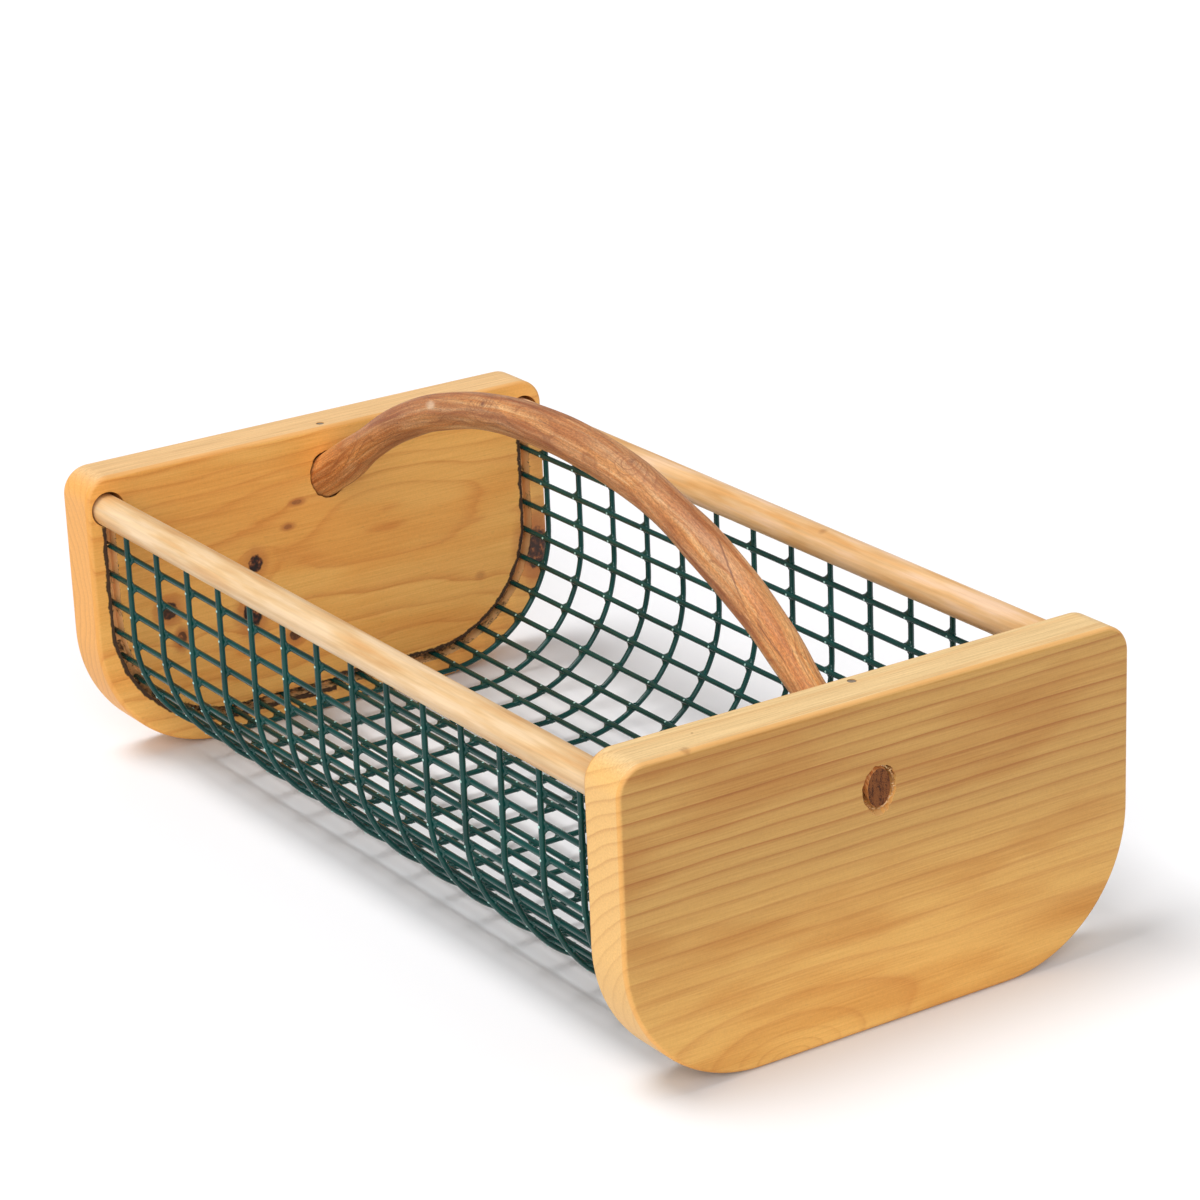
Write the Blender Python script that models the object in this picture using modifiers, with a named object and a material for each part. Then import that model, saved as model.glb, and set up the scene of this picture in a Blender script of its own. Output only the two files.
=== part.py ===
"""Garden hod: a carrying basket for vegetables.

Two pine end boards are joined by two dowel rails. A sheet of coated welded wire mesh, bent to a U,
sits in a kerf in each board and runs up into the underside of each rail. A bent hardwood stick passes
through both boards as the handle, and a nail driven through the top edge of each board pins it.

Metres, +Z up. X runs along the hod, towards the near board. The origin is on the ground, below the
middle of the hod.
"""

import math

import bmesh
import bpy

MM = 0.001

# End boards
INSIDE_LENGTH = 362.0 * MM
BOARD_THICKNESS = 21.5 * MM
BOARD_WIDTH = 218.0 * MM
BOARD_HEIGHT = 124.5 * MM
BOTTOM_CORNER_RADIUS = 55.0 * MM
TOP_CORNER_RADIUS = 11.0 * MM
EDGE_ROUND = 2.0 * MM

# Side rails: the axis lies in from the side edge and below the top edge of the boards
RAIL_DIAMETER = 12.7 * MM
RAIL_SIDE_INSET = 9.6 * MM
RAIL_TOP_INSET = 14.4 * MM
RAIL_SEAT_DEPTH = 12.0 * MM
RAIL_END_GAP = 0.4 * MM
RAIL_HOLE_CLEARANCE = 0.95 * MM
RAIL_SETTLES = 0.6 * MM
RAIL_SLOT_DEPTH = 6.0 * MM

# Wire mesh: hoops outside, long wires inside, welded where they cross
WIRE_DIAMETER = 2.3 * MM
HOOP_PITCH = 25.4 * MM
LONG_WIRE_PITCH = 12.45 * MM
WELD_DEPTH = 0.4 * MM
MESH_SIDE_INSET = 8.9 * MM
MESH_BOTTOM_INSET = 10.3 * MM
MESH_BEND_RADIUS = 52.7 * MM
KERF_WIDTH = 4.2 * MM
KERF_DEPTH = 6.0 * MM
WIRE_END_GAP = 0.5 * MM
WIRE_SIDE_GAP = 0.35 * MM

# Handle: the axis height is given at the outer faces of the boards
HANDLE_DIAMETER = 15.2 * MM
HANDLE_FAR_END_DIAMETER = 17.0 * MM
HANDLE_NEAR_END_DIAMETER = 12.4 * MM
HANDLE_END_BELOW_TOP = 33.0 * MM
HANDLE_RISE = 75.5 * MM
HANDLE_FAR_OFFSET = 3.2 * MM
HANDLE_NEAR_OFFSET = -1.6 * MM
HANDLE_STRAIGHT_END = 14.0 * MM
HANDLE_FAR_CLEARANCE = 0.6 * MM
HANDLE_NEAR_CLEARANCE = 1.2 * MM
HANDLE_FLUSH_GAP = 0.2 * MM
HANDLE_END_SLOPE = math.radians(30.0)

# Handle nails
NAIL_LENGTH = 30.0 * MM
NAIL_DIAMETER = 1.8 * MM
NAIL_HEAD_DIAMETER = 3.2 * MM
NAIL_HEAD_THICKNESS = 0.8 * MM
NAIL_POINT_LENGTH = 3.0 * MM
NAIL_FROM_INNER_FACE = 5.2 * MM
NAIL_SET_BELOW = 0.2 * MM
NAIL_CLEARANCE = 0.35 * MM

# Along the handle between the boards: share of half the inside length, share of the rise from the
# inner faces to the highest point of the axis, and share of the handle's diameter
HANDLE_SHARES = (
    (-0.79, 0.370, 0.93),
    (-0.63, 0.622, 0.98),
    (-0.41, 0.850, 0.97),
    (-0.25, 0.948, 0.96),
    (-0.05, 1.000, 1.03),
    (0.14, 0.987, 1.06),
    (0.28, 0.937, 1.04),
    (0.42, 0.843, 0.96),
    (0.55, 0.712, 1.05),
    (0.66, 0.570, 1.04),
    (0.78, 0.372, 0.97),
)

# How finely round shapes are cut
BOTTOM_ARC_STEPS = 12
TOP_ARC_STEPS = 5
MESH_BEND_STEPS = 8
RAIL_SIDES = 28
HOLE_SIDES = 32
NAIL_SIDES = 12
WIRE_BEVEL_RESOLUTION = 1
HANDLE_BEVEL_RESOLUTION = 4
HANDLE_STEPS_PER_POINT = 4
EDGE_BEVEL_RESOLUTION = 2
SHARP_ANGLE = math.radians(35.0)

# One overrun serves all cuts, and one distance welds the loose caps of curves
CUT_OVERRUN = 8.0 * MM
WELD_DISTANCE = 0.01 * MM

# Worked out from the sizes above
INNER_FACE_X = INSIDE_LENGTH / 2
OUTER_FACE_X = INNER_FACE_X + BOARD_THICKNESS
BOARD_CENTRE_X = INNER_FACE_X + BOARD_THICKNESS / 2
HALF_WIDTH = BOARD_WIDTH / 2
RAIL_Y = HALF_WIDTH - RAIL_SIDE_INSET
RAIL_Z = BOARD_HEIGHT - RAIL_TOP_INSET
WIRE_RADIUS = WIRE_DIAMETER / 2
WIRE_OFFSET = WIRE_RADIUS - WELD_DEPTH / 2
MESH_Y = HALF_WIDTH - MESH_SIDE_INSET
MESH_Z = MESH_BOTTOM_INSET
HOOP_Y = MESH_Y + WIRE_OFFSET
RAIL_SLOT_TOP = RAIL_Z - RAIL_DIAMETER / 2 + RAIL_SLOT_DEPTH
RAIL_SLOT_WIDTH = WIRE_DIAMETER + 2 * WIRE_SIDE_GAP
HANDLE_OUTER_Z = BOARD_HEIGHT - HANDLE_END_BELOW_TOP
HANDLE_INNER_Z = HANDLE_OUTER_Z + BOARD_THICKNESS * math.tan(HANDLE_END_SLOPE)
HANDLE_TOP_Z = HANDLE_OUTER_Z + HANDLE_RISE
FAR_HOLE_DIAMETER = HANDLE_FAR_END_DIAMETER + 2 * HANDLE_FAR_CLEARANCE
NEAR_HOLE_DIAMETER = HANDLE_NEAR_END_DIAMETER + 2 * HANDLE_NEAR_CLEARANCE
NAIL_X = INNER_FACE_X + NAIL_FROM_INNER_FACE
NAIL_TOP_Z = BOARD_HEIGHT - NAIL_SET_BELOW

FAR = -1
NEAR = 1


def clear_scene():
    """Remove every object, so the model starts from an empty scene."""
    for old in list(bpy.data.objects):
        bpy.data.objects.remove(old, do_unlink=True)


def make_collection(name):
    """Add a collection to the scene."""
    collection = bpy.data.collections.new(name)
    bpy.context.scene.collection.children.link(collection)
    return collection


def make_material(name, colour, roughness, metallic=0.0):
    """A plain Principled material in linear colour."""
    material = bpy.data.materials.new(name)
    material.use_nodes = True
    shader = material.node_tree.nodes["Principled BSDF"]
    shader.inputs["Base Color"].default_value = (*colour, 1.0)
    shader.inputs["Roughness"].default_value = roughness
    shader.inputs["Metallic"].default_value = metallic
    return material


def pine(name):
    """Clear pale pine, sanded and bare."""
    return make_material(name, (0.72, 0.43, 0.16), 0.6)


def dowel_wood(name):
    """Pale close-grained dowel stock."""
    return make_material(name, (0.84, 0.60, 0.34), 0.55)


def stick_wood(name):
    """Mid-brown hardwood with the bark off."""
    return make_material(name, (0.45, 0.22, 0.10), 0.6)


def green_coating(name):
    """Dark green plastic coating on welded wire."""
    return make_material(name, (0.012, 0.10, 0.085), 0.35)


def nail_steel(name):
    """Bare steel gone dark."""
    return make_material(name, (0.16, 0.12, 0.10), 0.5, 0.8)


def smooth(mesh):
    """Shade a mesh smooth and keep its real edges sharp."""
    mesh.shade_smooth()
    mesh.set_sharp_from_angle(angle=SHARP_ANGLE)


def add_part(name, mesh, material, location=(0, 0, 0), rotation=(0, 0, 0)):
    """Add a visible piece under the hod's empty."""
    mesh.materials.clear()
    mesh.materials.append(material)
    part = bpy.data.objects.new(name, mesh)
    part.location = location
    part.rotation_euler = rotation
    part.parent = HOD
    PARTS.objects.link(part)
    return part


def add_cutter(name, mesh, location=(0, 0, 0), rotation=(0, 0, 0)):
    """Add a hidden solid that other pieces are cut with or joined to."""
    cutter = bpy.data.objects.new(name, mesh)
    cutter.location = location
    cutter.rotation_euler = rotation
    cutter.hide_render = True
    cutter.display_type = "WIRE"
    CUTTERS.objects.link(cutter)
    return cutter


def boolean(part, cutter, operation="DIFFERENCE"):
    """Cut a piece with a cutter, or join them."""
    modifier = part.modifiers.new(f"{operation.lower()} {cutter.name}", "BOOLEAN")
    modifier.operation = operation
    modifier.solver = "EXACT"
    modifier.object = cutter


def cylinder_mesh(name, radius, length, sides):
    """A closed cylinder about the local Z axis, centred on the origin."""
    mesh = bpy.data.meshes.new(name)
    shape = bmesh.new()
    bmesh.ops.create_cone(
        shape, cap_ends=True, segments=sides, radius1=radius, radius2=radius, depth=length)
    shape.to_mesh(mesh)
    shape.free()
    smooth(mesh)
    return mesh


def box_mesh(name, size_x, size_y, size_z):
    """A closed box centred on the origin."""
    mesh = bpy.data.meshes.new(name)
    shape = bmesh.new()
    bmesh.ops.create_cube(shape, size=1.0)
    bmesh.ops.scale(shape, vec=(size_x, size_y, size_z), verts=shape.verts)
    shape.to_mesh(mesh)
    shape.free()
    return mesh


def curve_mesh(curve):
    """Turn curve data into a closed mesh with its caps welded on."""
    guide = bpy.data.objects.new(curve.name, curve)
    PARTS.objects.link(guide)
    bpy.context.view_layer.update()
    evaluated = guide.evaluated_get(bpy.context.evaluated_depsgraph_get())
    mesh = bpy.data.meshes.new_from_object(evaluated)
    bpy.data.objects.remove(guide, do_unlink=True)
    shape = bmesh.new()
    shape.from_mesh(mesh)
    bmesh.ops.remove_doubles(shape, verts=shape.verts, dist=WELD_DISTANCE)
    bmesh.ops.recalc_face_normals(shape, faces=shape.faces)
    shape.to_mesh(mesh)
    shape.free()
    smooth(mesh)
    return mesh


def plate_curve(name, outline, thickness, edge_round=0.0):
    """A flat outline given a thickness, with its edges rounded inwards if asked."""
    curve = bpy.data.curves.new(name, "CURVE")
    curve.dimensions = "2D"
    curve.fill_mode = "BOTH"
    curve.extrude = thickness / 2 - edge_round
    curve.bevel_depth = edge_round
    curve.bevel_resolution = EDGE_BEVEL_RESOLUTION
    curve.offset = -edge_round
    spline = curve.splines.new("POLY")
    spline.points.add(len(outline) - 1)
    for point, (across, up) in zip(spline.points, outline):
        point.co = (across, up, 0.0, 1.0)
    spline.use_cyclic_u = True
    return curve


def tube_curve(name, paths, radius):
    """Round wires along open paths, all in one curve."""
    curve = bpy.data.curves.new(name, "CURVE")
    curve.dimensions = "3D"
    curve.bevel_depth = radius
    curve.bevel_resolution = WIRE_BEVEL_RESOLUTION
    curve.use_fill_caps = True
    for path in paths:
        spline = curve.splines.new("POLY")
        spline.points.add(len(path) - 1)
        for point, place in zip(spline.points, path):
            point.co = (*place, 1.0)
    return curve


def arc(centre, radius, start, end, steps):
    """Points of an arc in the board's plane, angles in degrees from across towards up."""
    points = []
    for step in range(steps + 1):
        angle = math.radians(start + (end - start) * step / steps)
        points.append((centre[0] + radius * math.cos(angle), centre[1] + radius * math.sin(angle)))
    return points


def board_outline():
    """The board's outline: large arcs at the bottom corners, small ones at the top."""
    low, top = BOTTOM_CORNER_RADIUS, TOP_CORNER_RADIUS
    right_low = (HALF_WIDTH - low, low)
    right_top = (HALF_WIDTH - top, BOARD_HEIGHT - top)
    left_top = (-HALF_WIDTH + top, BOARD_HEIGHT - top)
    left_low = (-HALF_WIDTH + low, low)
    return (arc(right_low, low, -90, 0, BOTTOM_ARC_STEPS)
            + arc(right_top, top, 0, 90, TOP_ARC_STEPS)
            + arc(left_top, top, 90, 180, TOP_ARC_STEPS)
            + arc(left_low, low, 180, 270, BOTTOM_ARC_STEPS))


def mesh_section(offset, top):
    """The mesh's U seen from the end, moved outwards by an offset and ended at a height."""
    centre_y = MESH_Y - MESH_BEND_RADIUS
    centre_z = MESH_Z + MESH_BEND_RADIUS
    radius = MESH_BEND_RADIUS + offset
    left = arc((-centre_y, centre_z), radius, 180, 270, MESH_BEND_STEPS)
    right = arc((centre_y, centre_z), radius, 270, 360, MESH_BEND_STEPS)
    side = MESH_Y + offset
    return [(-side, top)] + left + right + [(side, top)]


def mesh_point(distance, offset):
    """A point of the U at a distance along it from the middle of the floor, moved by an offset."""
    side = math.copysign(1.0, distance)
    flat = MESH_Y - MESH_BEND_RADIUS
    bend = MESH_BEND_RADIUS * math.pi / 2
    centre_z = MESH_Z + MESH_BEND_RADIUS
    along = abs(distance)
    if along <= flat:
        return distance, MESH_Z - offset
    if along <= flat + bend:
        angle = (along - flat) / MESH_BEND_RADIUS
        radius = MESH_BEND_RADIUS + offset
        return side * (flat + radius * math.sin(angle)), centre_z - radius * math.cos(angle)
    return side * (MESH_Y + offset), centre_z + along - flat - bend


def half_mesh_room():
    """Length of the U from the middle of the floor to the highest place for a long wire."""
    flat = MESH_Y - MESH_BEND_RADIUS
    bend = MESH_BEND_RADIUS * math.pi / 2
    wall = RAIL_Z - RAIL_DIAMETER / 2 - MESH_Z - MESH_BEND_RADIUS
    return flat + bend + wall - WIRE_DIAMETER


def handle_offset(x):
    """How far the handle's axis lies to the side of the middle, at a place along the hod."""
    share = (x + OUTER_FACE_X) / (2 * OUTER_FACE_X)
    return HANDLE_FAR_OFFSET + (HANDLE_NEAR_OFFSET - HANDLE_FAR_OFFSET) * share


def handle_end_point(side, reach):
    """A point of the handle's straight end, at a reach outwards from the board's outer face."""
    x = side * (OUTER_FACE_X + reach)
    return x, handle_offset(x), HANDLE_OUTER_Z - reach * math.tan(HANDLE_END_SLOPE)


def handle_path():
    """The handle's axis from end to end, with its radius at each point."""
    far_radius = HANDLE_FAR_END_DIAMETER / 2
    near_radius = HANDLE_NEAR_END_DIAMETER / 2
    straight = (CUT_OVERRUN, -BOARD_THICKNESS, -BOARD_THICKNESS - HANDLE_STRAIGHT_END)
    path = [(handle_end_point(FAR, reach), far_radius) for reach in straight]
    for along, rise, thickness in HANDLE_SHARES:
        x = along * INNER_FACE_X
        z = HANDLE_INNER_Z + rise * (HANDLE_TOP_Z - HANDLE_INNER_Z)
        path.append(((x, handle_offset(x), z), thickness * HANDLE_DIAMETER / 2))
    path += [(handle_end_point(NEAR, reach), near_radius) for reach in reversed(straight)]
    return path


def nail_bore(name, side):
    """Cutter for a nail's hole: a shank hole with a wider seat for the head."""
    head = NAIL_HEAD_DIAMETER / 2 + NAIL_CLEARANCE
    shank = NAIL_DIAMETER / 2 + NAIL_CLEARANCE
    seat = -NAIL_HEAD_THICKNESS - NAIL_CLEARANCE
    profile = (
        (0.0, CUT_OVERRUN),
        (head, CUT_OVERRUN),
        (head, seat),
        (shank, seat),
        (shank, -NAIL_LENGTH - NAIL_CLEARANCE),
        (0.0, -NAIL_LENGTH - NAIL_CLEARANCE),
    )
    x = side * NAIL_X
    bore = add_cutter(name, profile_mesh(name, profile), (x, handle_offset(x), NAIL_TOP_Z))
    turn(bore)
    return bore


def profile_mesh(name, profile):
    """An open profile at +X, from top to bottom, to be turned about Z."""
    mesh = bpy.data.meshes.new(name)
    shape = bmesh.new()
    corners = [shape.verts.new((radius, 0.0, height)) for radius, height in profile]
    for upper, lower in zip(corners, corners[1:]):
        shape.edges.new((upper, lower))
    shape.to_mesh(mesh)
    shape.free()
    return mesh


def turn(part):
    """Turn a profile into a solid."""
    screw = part.modifiers.new("turned", "SCREW")
    screw.axis = "Z"
    screw.steps = NAIL_SIDES
    screw.render_steps = NAIL_SIDES
    screw.use_merge_vertices = True
    screw.merge_threshold = WELD_DISTANCE
    screw.use_smooth_shade = False


def end_board(name, side, handle_hole_diameter, bore):
    """One end board with its mesh kerf, blind rail holes, handle hole and nail hole."""
    upright = (math.pi / 2, 0.0, math.pi / 2)
    mesh = curve_mesh(plate_curve(name, board_outline(), BOARD_THICKNESS, EDGE_ROUND))
    board = add_part(name, mesh, pine(f"{name}_pine"), (side * BOARD_CENTRE_X, 0, 0), upright)

    kerf_outline = (mesh_section(-WIRE_OFFSET + KERF_WIDTH / 2, RAIL_Z)
                    + mesh_section(-WIRE_OFFSET - KERF_WIDTH / 2, RAIL_Z)[::-1])
    kerf_x = side * (INNER_FACE_X + (KERF_DEPTH - CUT_OVERRUN) / 2)
    kerf = curve_mesh(plate_curve(f"{name}_kerf", kerf_outline, KERF_DEPTH + CUT_OVERRUN))
    boolean(board, add_cutter(f"{name}_kerf", kerf, (kerf_x, 0, 0), upright))

    hole_radius = RAIL_DIAMETER / 2 + RAIL_HOLE_CLEARANCE
    hole_x = side * (INNER_FACE_X + (RAIL_SEAT_DEPTH - CUT_OVERRUN) / 2)
    for rail_side in (-1, 1):
        label = f"{name}_rail_hole_{'left' if rail_side < 0 else 'right'}"
        hole = cylinder_mesh(label, hole_radius, RAIL_SEAT_DEPTH + CUT_OVERRUN, HOLE_SIDES)
        place = (hole_x, rail_side * RAIL_Y, RAIL_Z + RAIL_SETTLES)
        boolean(board, add_cutter(label, hole, place, (0, math.pi / 2, 0)))

    label = f"{name}_handle_hole"
    length = BOARD_THICKNESS / math.cos(HANDLE_END_SLOPE) + 2 * CUT_OVERRUN
    hole = cylinder_mesh(label, handle_hole_diameter / 2, length, HOLE_SIDES)
    tilt = (0, math.pi / 2 + side * HANDLE_END_SLOPE, 0)
    middle = handle_end_point(side, -BOARD_THICKNESS / 2)
    boolean(board, add_cutter(label, hole, middle, tilt))
    boolean(board, bore)
    return board


def side_rail(name, side):
    """One dowel rail, with the slot in its underside that takes the tops of the hoops."""
    length = INSIDE_LENGTH + 2 * (RAIL_SEAT_DEPTH - RAIL_END_GAP)
    mesh = cylinder_mesh(name, RAIL_DIAMETER / 2, length, RAIL_SIDES)
    place = (0, side * RAIL_Y, RAIL_Z)
    rail = add_part(name, mesh, dowel_wood(f"{name}_wood"), place, (0, math.pi / 2, 0))
    height = RAIL_SLOT_DEPTH + CUT_OVERRUN
    slot = box_mesh(f"{name}_slot", INSIDE_LENGTH, RAIL_SLOT_WIDTH, height)
    place = (0, side * HOOP_Y, RAIL_SLOT_TOP - height / 2)
    boolean(rail, add_cutter(f"{name}_slot", slot, place))
    return rail


def wire_mesh(name):
    """The welded mesh: U-shaped hoops outside, long wires inside, joined where they cross."""
    hoop_count = int(INSIDE_LENGTH / HOOP_PITCH)
    section = mesh_section(WIRE_OFFSET, RAIL_SLOT_TOP - WIRE_END_GAP)
    hoops = []
    for number in range(hoop_count):
        x = (number - (hoop_count - 1) / 2) * HOOP_PITCH
        hoops.append([(x, y, z) for y, z in section])

    rows_each_side = int(half_mesh_room() / LONG_WIRE_PITCH)
    reach = INNER_FACE_X + KERF_DEPTH - WIRE_END_GAP
    long_wires = []
    for row in range(-rows_each_side, rows_each_side + 1):
        y, z = mesh_point(row * LONG_WIRE_PITCH, -WIRE_OFFSET)
        long_wires.append([(-reach, y, z), (reach, y, z)])

    hoop_mesh = curve_mesh(tube_curve(name, hoops, WIRE_RADIUS))
    net = add_part(name, hoop_mesh, green_coating(f"{name}_coating"))
    wires = curve_mesh(tube_curve("long_wires", long_wires, WIRE_RADIUS))
    boolean(net, add_cutter("long_wires", wires), "UNION")
    return net


def handle(name, bores):
    """The bent stick, cut flush with the boards' outer faces and bored for its nails."""
    curve = bpy.data.curves.new(name, "CURVE")
    curve.dimensions = "3D"
    curve.bevel_depth = 1.0
    curve.bevel_resolution = HANDLE_BEVEL_RESOLUTION
    curve.resolution_u = HANDLE_STEPS_PER_POINT
    curve.use_fill_caps = True
    spline = curve.splines.new("BEZIER")
    path = handle_path()
    spline.bezier_points.add(len(path) - 1)
    for point, (place, radius) in zip(spline.bezier_points, path):
        point.co = place
        point.radius = radius
        point.handle_left_type = "AUTO"
        point.handle_right_type = "AUTO"
    stick = add_part(name, curve_mesh(curve), stick_wood(f"{name}_wood"))

    length = 2 * (OUTER_FACE_X - HANDLE_FLUSH_GAP)
    height = HANDLE_RISE + 2 * BOARD_HEIGHT
    block = box_mesh(f"{name}_length", length, BOARD_WIDTH, height)
    block = add_cutter(f"{name}_length", block, (0, 0, HANDLE_OUTER_Z))
    boolean(stick, block, "INTERSECT")
    for bore in bores:
        boolean(stick, bore)
    return stick


def nail(name, side):
    """A headed nail, driven down through the board's top edge into the handle."""
    head = NAIL_HEAD_DIAMETER / 2
    shank = NAIL_DIAMETER / 2
    profile = (
        (0.0, 0.0),
        (head, 0.0),
        (head, -NAIL_HEAD_THICKNESS),
        (shank, -NAIL_HEAD_THICKNESS),
        (shank, NAIL_POINT_LENGTH - NAIL_LENGTH),
        (0.0, -NAIL_LENGTH),
    )
    x = side * NAIL_X
    place = (x, handle_offset(x), NAIL_TOP_Z)
    pin = add_part(name, profile_mesh(name, profile), nail_steel(f"{name}_steel"), place)
    turn(pin)
    return pin


clear_scene()
PARTS = make_collection("garden_hod")
CUTTERS = make_collection("garden_hod_cutters")
HOD = bpy.data.objects.new("garden_hod", None)
PARTS.objects.link(HOD)

far_bore = nail_bore("far_nail_hole", FAR)
near_bore = nail_bore("near_nail_hole", NEAR)
end_board("far_end_board", FAR, FAR_HOLE_DIAMETER, far_bore)
end_board("near_end_board", NEAR, NEAR_HOLE_DIAMETER, near_bore)
side_rail("left_side_rail", -1)
side_rail("right_side_rail", 1)
wire_mesh("wire_mesh")
handle("handle", (far_bore, near_bore))
nail("far_handle_nail", FAR)
nail("near_handle_nail", NEAR)
bpy.context.view_layer.update()
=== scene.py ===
"""A garden hod, dressed for the camera.

Two pine end boards carry two dowel rails, a sheet of coated welded wire bent to a U, and a bent
hardwood stick for a handle. Everything is in metres in the frame of the solid model: X runs along the
hod towards the near board, Y across it, Z up, with the origin on the ground below its middle.
"""

from __future__ import annotations

import logging
import math
from dataclasses import dataclass
from enum import Enum
from functools import partial
from typing import Any, Callable, Sequence

import bmesh
import bpy
from mathutils import Matrix, Vector, noise


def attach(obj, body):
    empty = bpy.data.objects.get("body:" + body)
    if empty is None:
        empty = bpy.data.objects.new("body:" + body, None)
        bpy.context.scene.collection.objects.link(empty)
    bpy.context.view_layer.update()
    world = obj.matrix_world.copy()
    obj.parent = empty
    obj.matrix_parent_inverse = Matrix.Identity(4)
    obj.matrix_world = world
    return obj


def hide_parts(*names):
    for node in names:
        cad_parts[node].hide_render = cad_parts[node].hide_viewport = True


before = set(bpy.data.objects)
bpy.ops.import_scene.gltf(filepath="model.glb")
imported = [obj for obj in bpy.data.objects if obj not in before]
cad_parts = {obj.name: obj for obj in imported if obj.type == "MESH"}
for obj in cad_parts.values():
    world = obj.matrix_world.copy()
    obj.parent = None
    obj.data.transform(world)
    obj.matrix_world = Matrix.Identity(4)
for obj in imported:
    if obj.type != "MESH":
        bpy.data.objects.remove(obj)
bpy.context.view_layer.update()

LOG = logging.getLogger("garden_hod")
MM = 0.001
Point = tuple[float, float, float]
Flat = tuple[float, float]
Adder = Callable[..., bpy.types.Node]

# How far a normal has to lean before a face counts as a board's top or side.
FACING = (0.3, 0.9)
# The part of its range that a fine noise mostly fills.
FIBRE_SPAN = (0.28, 0.72)


class End(Enum):
    """The two ends of the hod."""

    FAR = -1
    NEAR = 1


class Side(Enum):
    """The two long sides of the hod."""

    LEFT = -1
    RIGHT = 1


def linear(hex_colour: str) -> tuple[float, float, float, float]:
    """Turn an sRGB hex colour to linear light.

    Args:
        hex_colour: Six hex digits.

    Returns:
        The colour as Blender's sockets take it, with an alpha of 1.
    """
    parts = [int(hex_colour[place:place + 2], 16) / 255 for place in (0, 2, 4)]
    light = [part / 12.92 if part <= 0.04045 else ((part + 0.055) / 1.055) ** 2.4 for part in parts]
    return (*light, 1.0)


def feed(node: bpy.types.Node, inputs: dict[Any, Any] | Sequence[Any]) -> None:
    """Give a node's inputs their values and links.

    Args:
        node: The node.
        inputs: What goes in, in the order of the inputs in use, or by their names or numbers. Each is a
            value, a hex colour, an output, a node, whose first output in use is taken, or a list.
    """
    if isinstance(inputs, dict):
        pairs = [(node.inputs[key], value) for key, value in inputs.items()]
    else:
        pairs = list(zip([socket for socket in node.inputs if socket.enabled], inputs))
    for socket, value in pairs:
        for source in value if isinstance(value, list) else [value]:
            if isinstance(source, bpy.types.Node):
                source = next(output for output in source.outputs if output.enabled)
            if isinstance(source, bpy.types.NodeSocket):
                node.id_data.links.new(source, socket)
            elif isinstance(source, str) and socket.type == "RGBA":
                socket.default_value = linear(source)
            else:
                socket.default_value = source


def add_node(tree: bpy.types.NodeTree, kind: str, inputs: dict[Any, Any] | Sequence[Any] = (),
             stops: Sequence[tuple[float, Any]] = (), **settings: Any) -> bpy.types.Node:
    """Add one node with its settings, its values and its links.

    Args:
        tree: The tree that takes the node.
        kind: Blender's name for the node. Without Node in it, it gets ShaderNode in front.
        inputs: What goes into it, as feed takes it.
        stops: Place and colour of each stop of a colour ramp; a number stands for a grey.
        **settings: The node's own attributes.

    Returns:
        The new node.
    """
    node = tree.nodes.new(kind if "Node" in kind else f"ShaderNode{kind}")
    for name, value in settings.items():
        setattr(node, name, value)
    if stops:
        elements = node.color_ramp.elements
        while len(elements) < len(stops):
            elements.new(0.5)
        for element, (place, colour) in zip(elements, stops):
            element.position = place
            element.color = linear(colour) if isinstance(colour, str) else (colour, colour, colour, 1.0)
    feed(node, inputs)
    return node


def new_material(name: str, **fixed: Any) -> tuple[bpy.types.Material, bpy.types.Node, Adder]:
    """Start a Principled material.

    Args:
        name: The material's name.
        **fixed: Constant inputs of its shader, with underscores for spaces.

    Returns:
        The material, its shader, and add_node for its tree.
    """
    material = bpy.data.materials.new(name)
    material.use_nodes = True
    shader = material.node_tree.nodes["Principled BSDF"]
    feed(shader, {key.replace("_", " "): value for key, value in fixed.items()})
    return material, shader, partial(add_node, material.node_tree)


def grain(add: Adder, place: Any, scale: Point, detail: float, roughness: float = 0.5,
          start: Point = (0.0, 0.0, 0.0)) -> bpy.types.Node:
    """Noise drawn out along the wood.

    Args:
        add: Adds a node to the tree.
        place: The coordinates that it follows.
        scale: How fast it changes along each axis.
        detail: How fine its detail goes.
        roughness: How strong its detail is.
        start: Where it starts.

    Returns:
        The noise.
    """
    mapped = add("Mapping", {0: place, "Location": start, "Scale": scale})
    return add("TexNoise", {"Vector": mapped, "Scale": 1.0, "Detail": detail, "Roughness": roughness})


def ellipse(add: Adder, places: Sequence[Any], centre: Flat, halves: Flat) -> bpy.types.Node:
    """Squared distance from an ellipse's centre, with 1 at its edge.

    Args:
        add: Adds a node to the tree.
        places: The two coordinates.
        centre: The ellipse's centre.
        halves: Its half widths.

    Returns:
        The squared distance.
    """
    away = (add("Math", pair, operation="SUBTRACT") for pair in zip(places, centre))
    first, second = (add("Math", (distance, 1.0 / half), operation="MULTIPLY")
                     for distance, half in zip(away, halves))
    second = add("Math", (second, second), operation="MULTIPLY")
    return add("Math", (first, first, second), operation="MULTIPLY_ADD")


def fading(add: Adder, distance: Any, rate: float) -> bpy.types.Node:
    """A strength that is 1 at no distance and fades out as a power of e."""
    return add("Math", (math.e, add("Math", (distance, -rate), operation="MULTIPLY")), operation="POWER")


@dataclass(frozen=True)
class Knot:
    """A knot that runs through a board, or only the swell of the rings over one, in millimetres."""

    across: float
    up: float
    half_across: float
    half_up: float
    darkness: float
    swirl: float = 2.5
    halo: float = 0.6
    roughness: float = 0.5


@dataclass(frozen=True)
class Mark:
    """A small stain or dent on a board: its centre, its radius and its strength."""

    centre: Point
    radius: float
    strength: float


@dataclass(frozen=True)
class KerfPlace:
    """Where the mesh kerf runs in a board, all in millimetres."""

    side: float
    floor: float
    bend_radius: float
    half_width: float
    inner_face: float
    depth: float


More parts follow.
